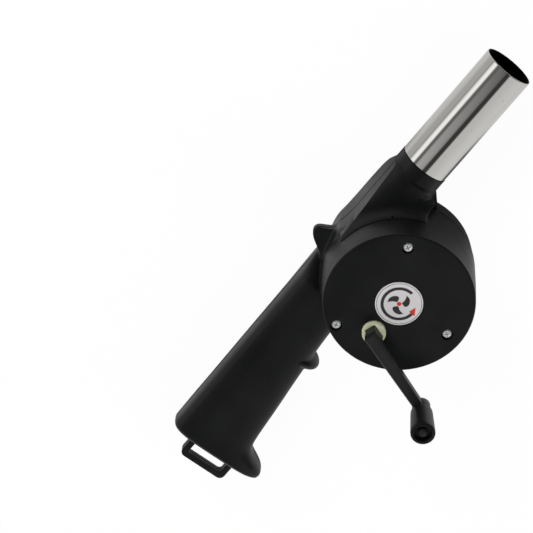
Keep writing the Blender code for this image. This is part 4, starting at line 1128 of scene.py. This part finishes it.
studio = {
    "floor": 2.4,
    "floorColours": ((0.83, 0.83, 0.83), (0.81, 0.81, 0.81)),
    "floorLift": 0.96,  # share of plain white in what the camera sees of the floor
    "mirroredLift": 0.85,  # the same for mirrors
    # painted shade: mirrors see the floor darker round the object's middle
    "paintedFloorShade": ((-0.002, 0.046, 0.0), (0.050, 0.032, 1.0), (0.08, 0.74)),  # middle, reach, shades
    "farEnd": (0.05, 0.55, (1.0, 0.12)),  # the room beyond the tube's mouth is darker
    "leftEnd": (-0.9, -0.4, (0.6, 1.0)),  # and so is its left end
    # painted shade: mirrors see the floor darker to the object's left
    "paintedLeftFloorShade": (-0.085, -0.058, (0.60, 1.0)),  # what mirrors find of the floor there
    "horizon": 0.85,
    "ceiling": 0.04,
    # brightness that mirrors find overhead, by the angle from straight up towards +X, in degrees
    "strips": [
        (-100, 0.5), (-88, 0.5),  # grey wall on the left
        (-85, 0.3),  # a thin dark strip
        (-72, 1.2), (-62, 1.2),  # softbox
        (-54, 0.15), (-47, 0.15),  # dark card
        (-38, 0.35), (-18, 0.32), (-8, 0.26),  # grey card
        (-2, 0.05), (12, 0.05),  # black flag
        (18, 0.65), (90, 0.8),  # white wall on the right
    ],
    "stripReach": (-0.260, 0.23),  # middle of the strips along Y, and how far they run each way
    # angle, core and edge of the strip that fades, Y from and to, brightness there
    "fadingStrip": (-25, 16, 24, (-0.29, -0.23), (1.45, 0.5)),
    "lamps": [
        # place, size, watts, aimed at
        ((-0.75, 0.30, 0.55), 0.60, 8.0, (-0.01, 0.0, 0.02)),
        ((0.80, 0.10, 0.60), 0.60, 5.6, (-0.01, 0.0, 0.02)),
        ((0.10, -0.90, 0.50), 0.70, 4.8, (-0.01, -0.03, 0.02)),
    ],
    "lens": 2000 * 36 / 533,  # a focal length of 2000 pixels in a picture 533 wide
    "cameraPlace": (-0.29129628, 0.33267414, 0.89646436),
    "cameraTurn": (
        (0.79868689, -0.55083400, -0.24224194),
        (0.60067642, 0.70580989, 0.37552660),
        (-0.03587606, -0.44543720, 0.89459410),
    ),
}


def makeFloor():
    size = studio["floor"]
    floor = plate("floor", roundedBox(-size, size, -size, size, 0.3, 12), -0.02, -0.0004)
    material, tree, shader = startMaterial("pale floor")
    tone = ranged(tree, cloud(tree, 6, 3), 0.3, 0.7)
    fill(shader, Base_Color=blended(tree, tone, *studio["floorColours"]), Roughness=0.75)
    path = put(tree, "LightPath").outputs
    seen = calculated(tree, "MAXIMUM", path["Is Camera Ray"], path["Is Transmission Ray"])
    mirrored = times(tree, path["Is Glossy Ray"], studio["mirroredLift"])
    lift = calculated(tree, "MAXIMUM", times(tree, seen, studio["floorLift"]), mirrored)
    # painted shade on the floor, seen only in mirrors: darker near the object and towards its left
    middle, reach, shades = studio["paintedFloorShade"]
    near = put(tree, "Mapping", {"vector_type": "TEXTURE"}, Location=middle, Scale=reach)
    away = vectorMath(tree, "LENGTH", fill(near, Vector=coordinates(tree)).outputs[0])
    side = put(tree, "SeparateXYZ", Vector=coordinates(tree)).outputs["X"]
    paintedShade = times(tree, ranged(tree, away, 0.5, 1.1, shades), ranged(tree, side, *studio["paintedLeftFloorShade"]))
    paintedShade = blended(tree, path["Is Glossy Ray"], (1.0, 1.0, 1.0), paintedShade)
    white = put(tree, "Emission", Color=paintedShade).outputs[0]
    mix = put(tree, "MixShader")
    for socket, source in zip(mix.inputs, (lift, shader.outputs[0], white)):
        feed(socket, source)
    fill(tree.nodes["Material Output"], Surface=mix.outputs[0])
    floor.data.materials.append(material)


def makeLamps():
    for number, (place, size, power, aim) in enumerate(studio["lamps"], 1):
        lamp = bpy.data.lights.new(f"softbox{number}", "AREA")
        lamp.size = size
        lamp.energy = power
        stand = bpy.data.objects.new(f"softbox{number}", lamp)
        stand.location = place
        stand.rotation_euler = (Vector(aim) - Vector(place)).to_track_quat("-Z", "Y").to_euler()
        stand.visible_glossy = False
        scene.collection.objects.link(stand)


def makeSurroundings():
    # a pale room with a dark ceiling, and lamps and dark strips overhead that run along the tube
    world = bpy.data.worlds.new("pale studio")
    scene.world = world
    world.use_nodes = True
    tree = world.node_tree
    where = put(tree, "TexCoord").outputs["Generated"]
    x, y, z = put(tree, "SeparateXYZ", Vector=where).outputs
    room = ranged(tree, z, 0.25, 0.60, (studio["horizon"], studio["ceiling"]))
    room = times(tree, room, ranged(tree, y, *studio["farEnd"]))
    room = times(tree, room, ranged(tree, x, *studio["leftEnd"]))
    angle = calculated(tree, "ARCTAN2", x, z)
    keys = studio["strips"]
    first, last = keys[0][0], keys[-1][0]
    strips = put(tree, "ValToRGB")
    marks = strips.color_ramp.elements
    while len(marks) < len(keys):
        marks.new(0.5)
    for mark, (degrees, brightness) in zip(marks, keys):
        mark.position = (degrees - first) / (last - first)
        mark.color = (brightness, brightness, brightness, 1)
    fill(strips, Fac=ranged(tree, angle, math.radians(first), math.radians(last)))
    middle, reach = studio["stripReach"]
    away = calculated(tree, "ABSOLUTE", calculated(tree, "SUBTRACT", y, middle))
    near = times(tree, ranged(tree, away, reach * 0.7, reach, (1.0, 0.0)), ranged(tree, z, 0.0, 0.08))
    # one strip gets darker towards the tube's mouth
    degrees, core, edge, places, shades = studio["fadingStrip"]
    away = calculated(tree, "ABSOLUTE", calculated(tree, "SUBTRACT", angle, math.radians(degrees)))
    fading = ranged(tree, away, math.radians(core), math.radians(edge), (1.0, 0.0))
    change = calculated(tree, "SUBTRACT", ranged(tree, y, *places, shades), 1.0)
    shade = plus(tree, times(tree, fading, change), 1.0)
    seen = blended(tree, near, room, vectorMath(tree, "MULTIPLY", strips.outputs[0], shade))
    camera = put(tree, "LightPath").outputs["Is Camera Ray"]
    fill(tree.nodes["Background"], Color=blended(tree, camera, seen, (1.0, 1.0, 1.0)), Strength=1.0)


def makeCamera():
    data = bpy.data.cameras.new("camera")
    data.sensor_width = 36.0
    data.lens = studio["lens"]
    data.clip_start = 0.01
    camera = bpy.data.objects.new("camera", data)
    turn = Matrix(studio["cameraTurn"]).to_4x4()
    camera.matrix_world = Matrix.Translation(studio["cameraPlace"]) @ turn
    scene.collection.objects.link(camera)
    scene.camera = camera


makeFloor()
makeLamps()
makeSurroundings()
makeCamera()
scene.view_settings.view_transform = "Standard"
print("studio made")
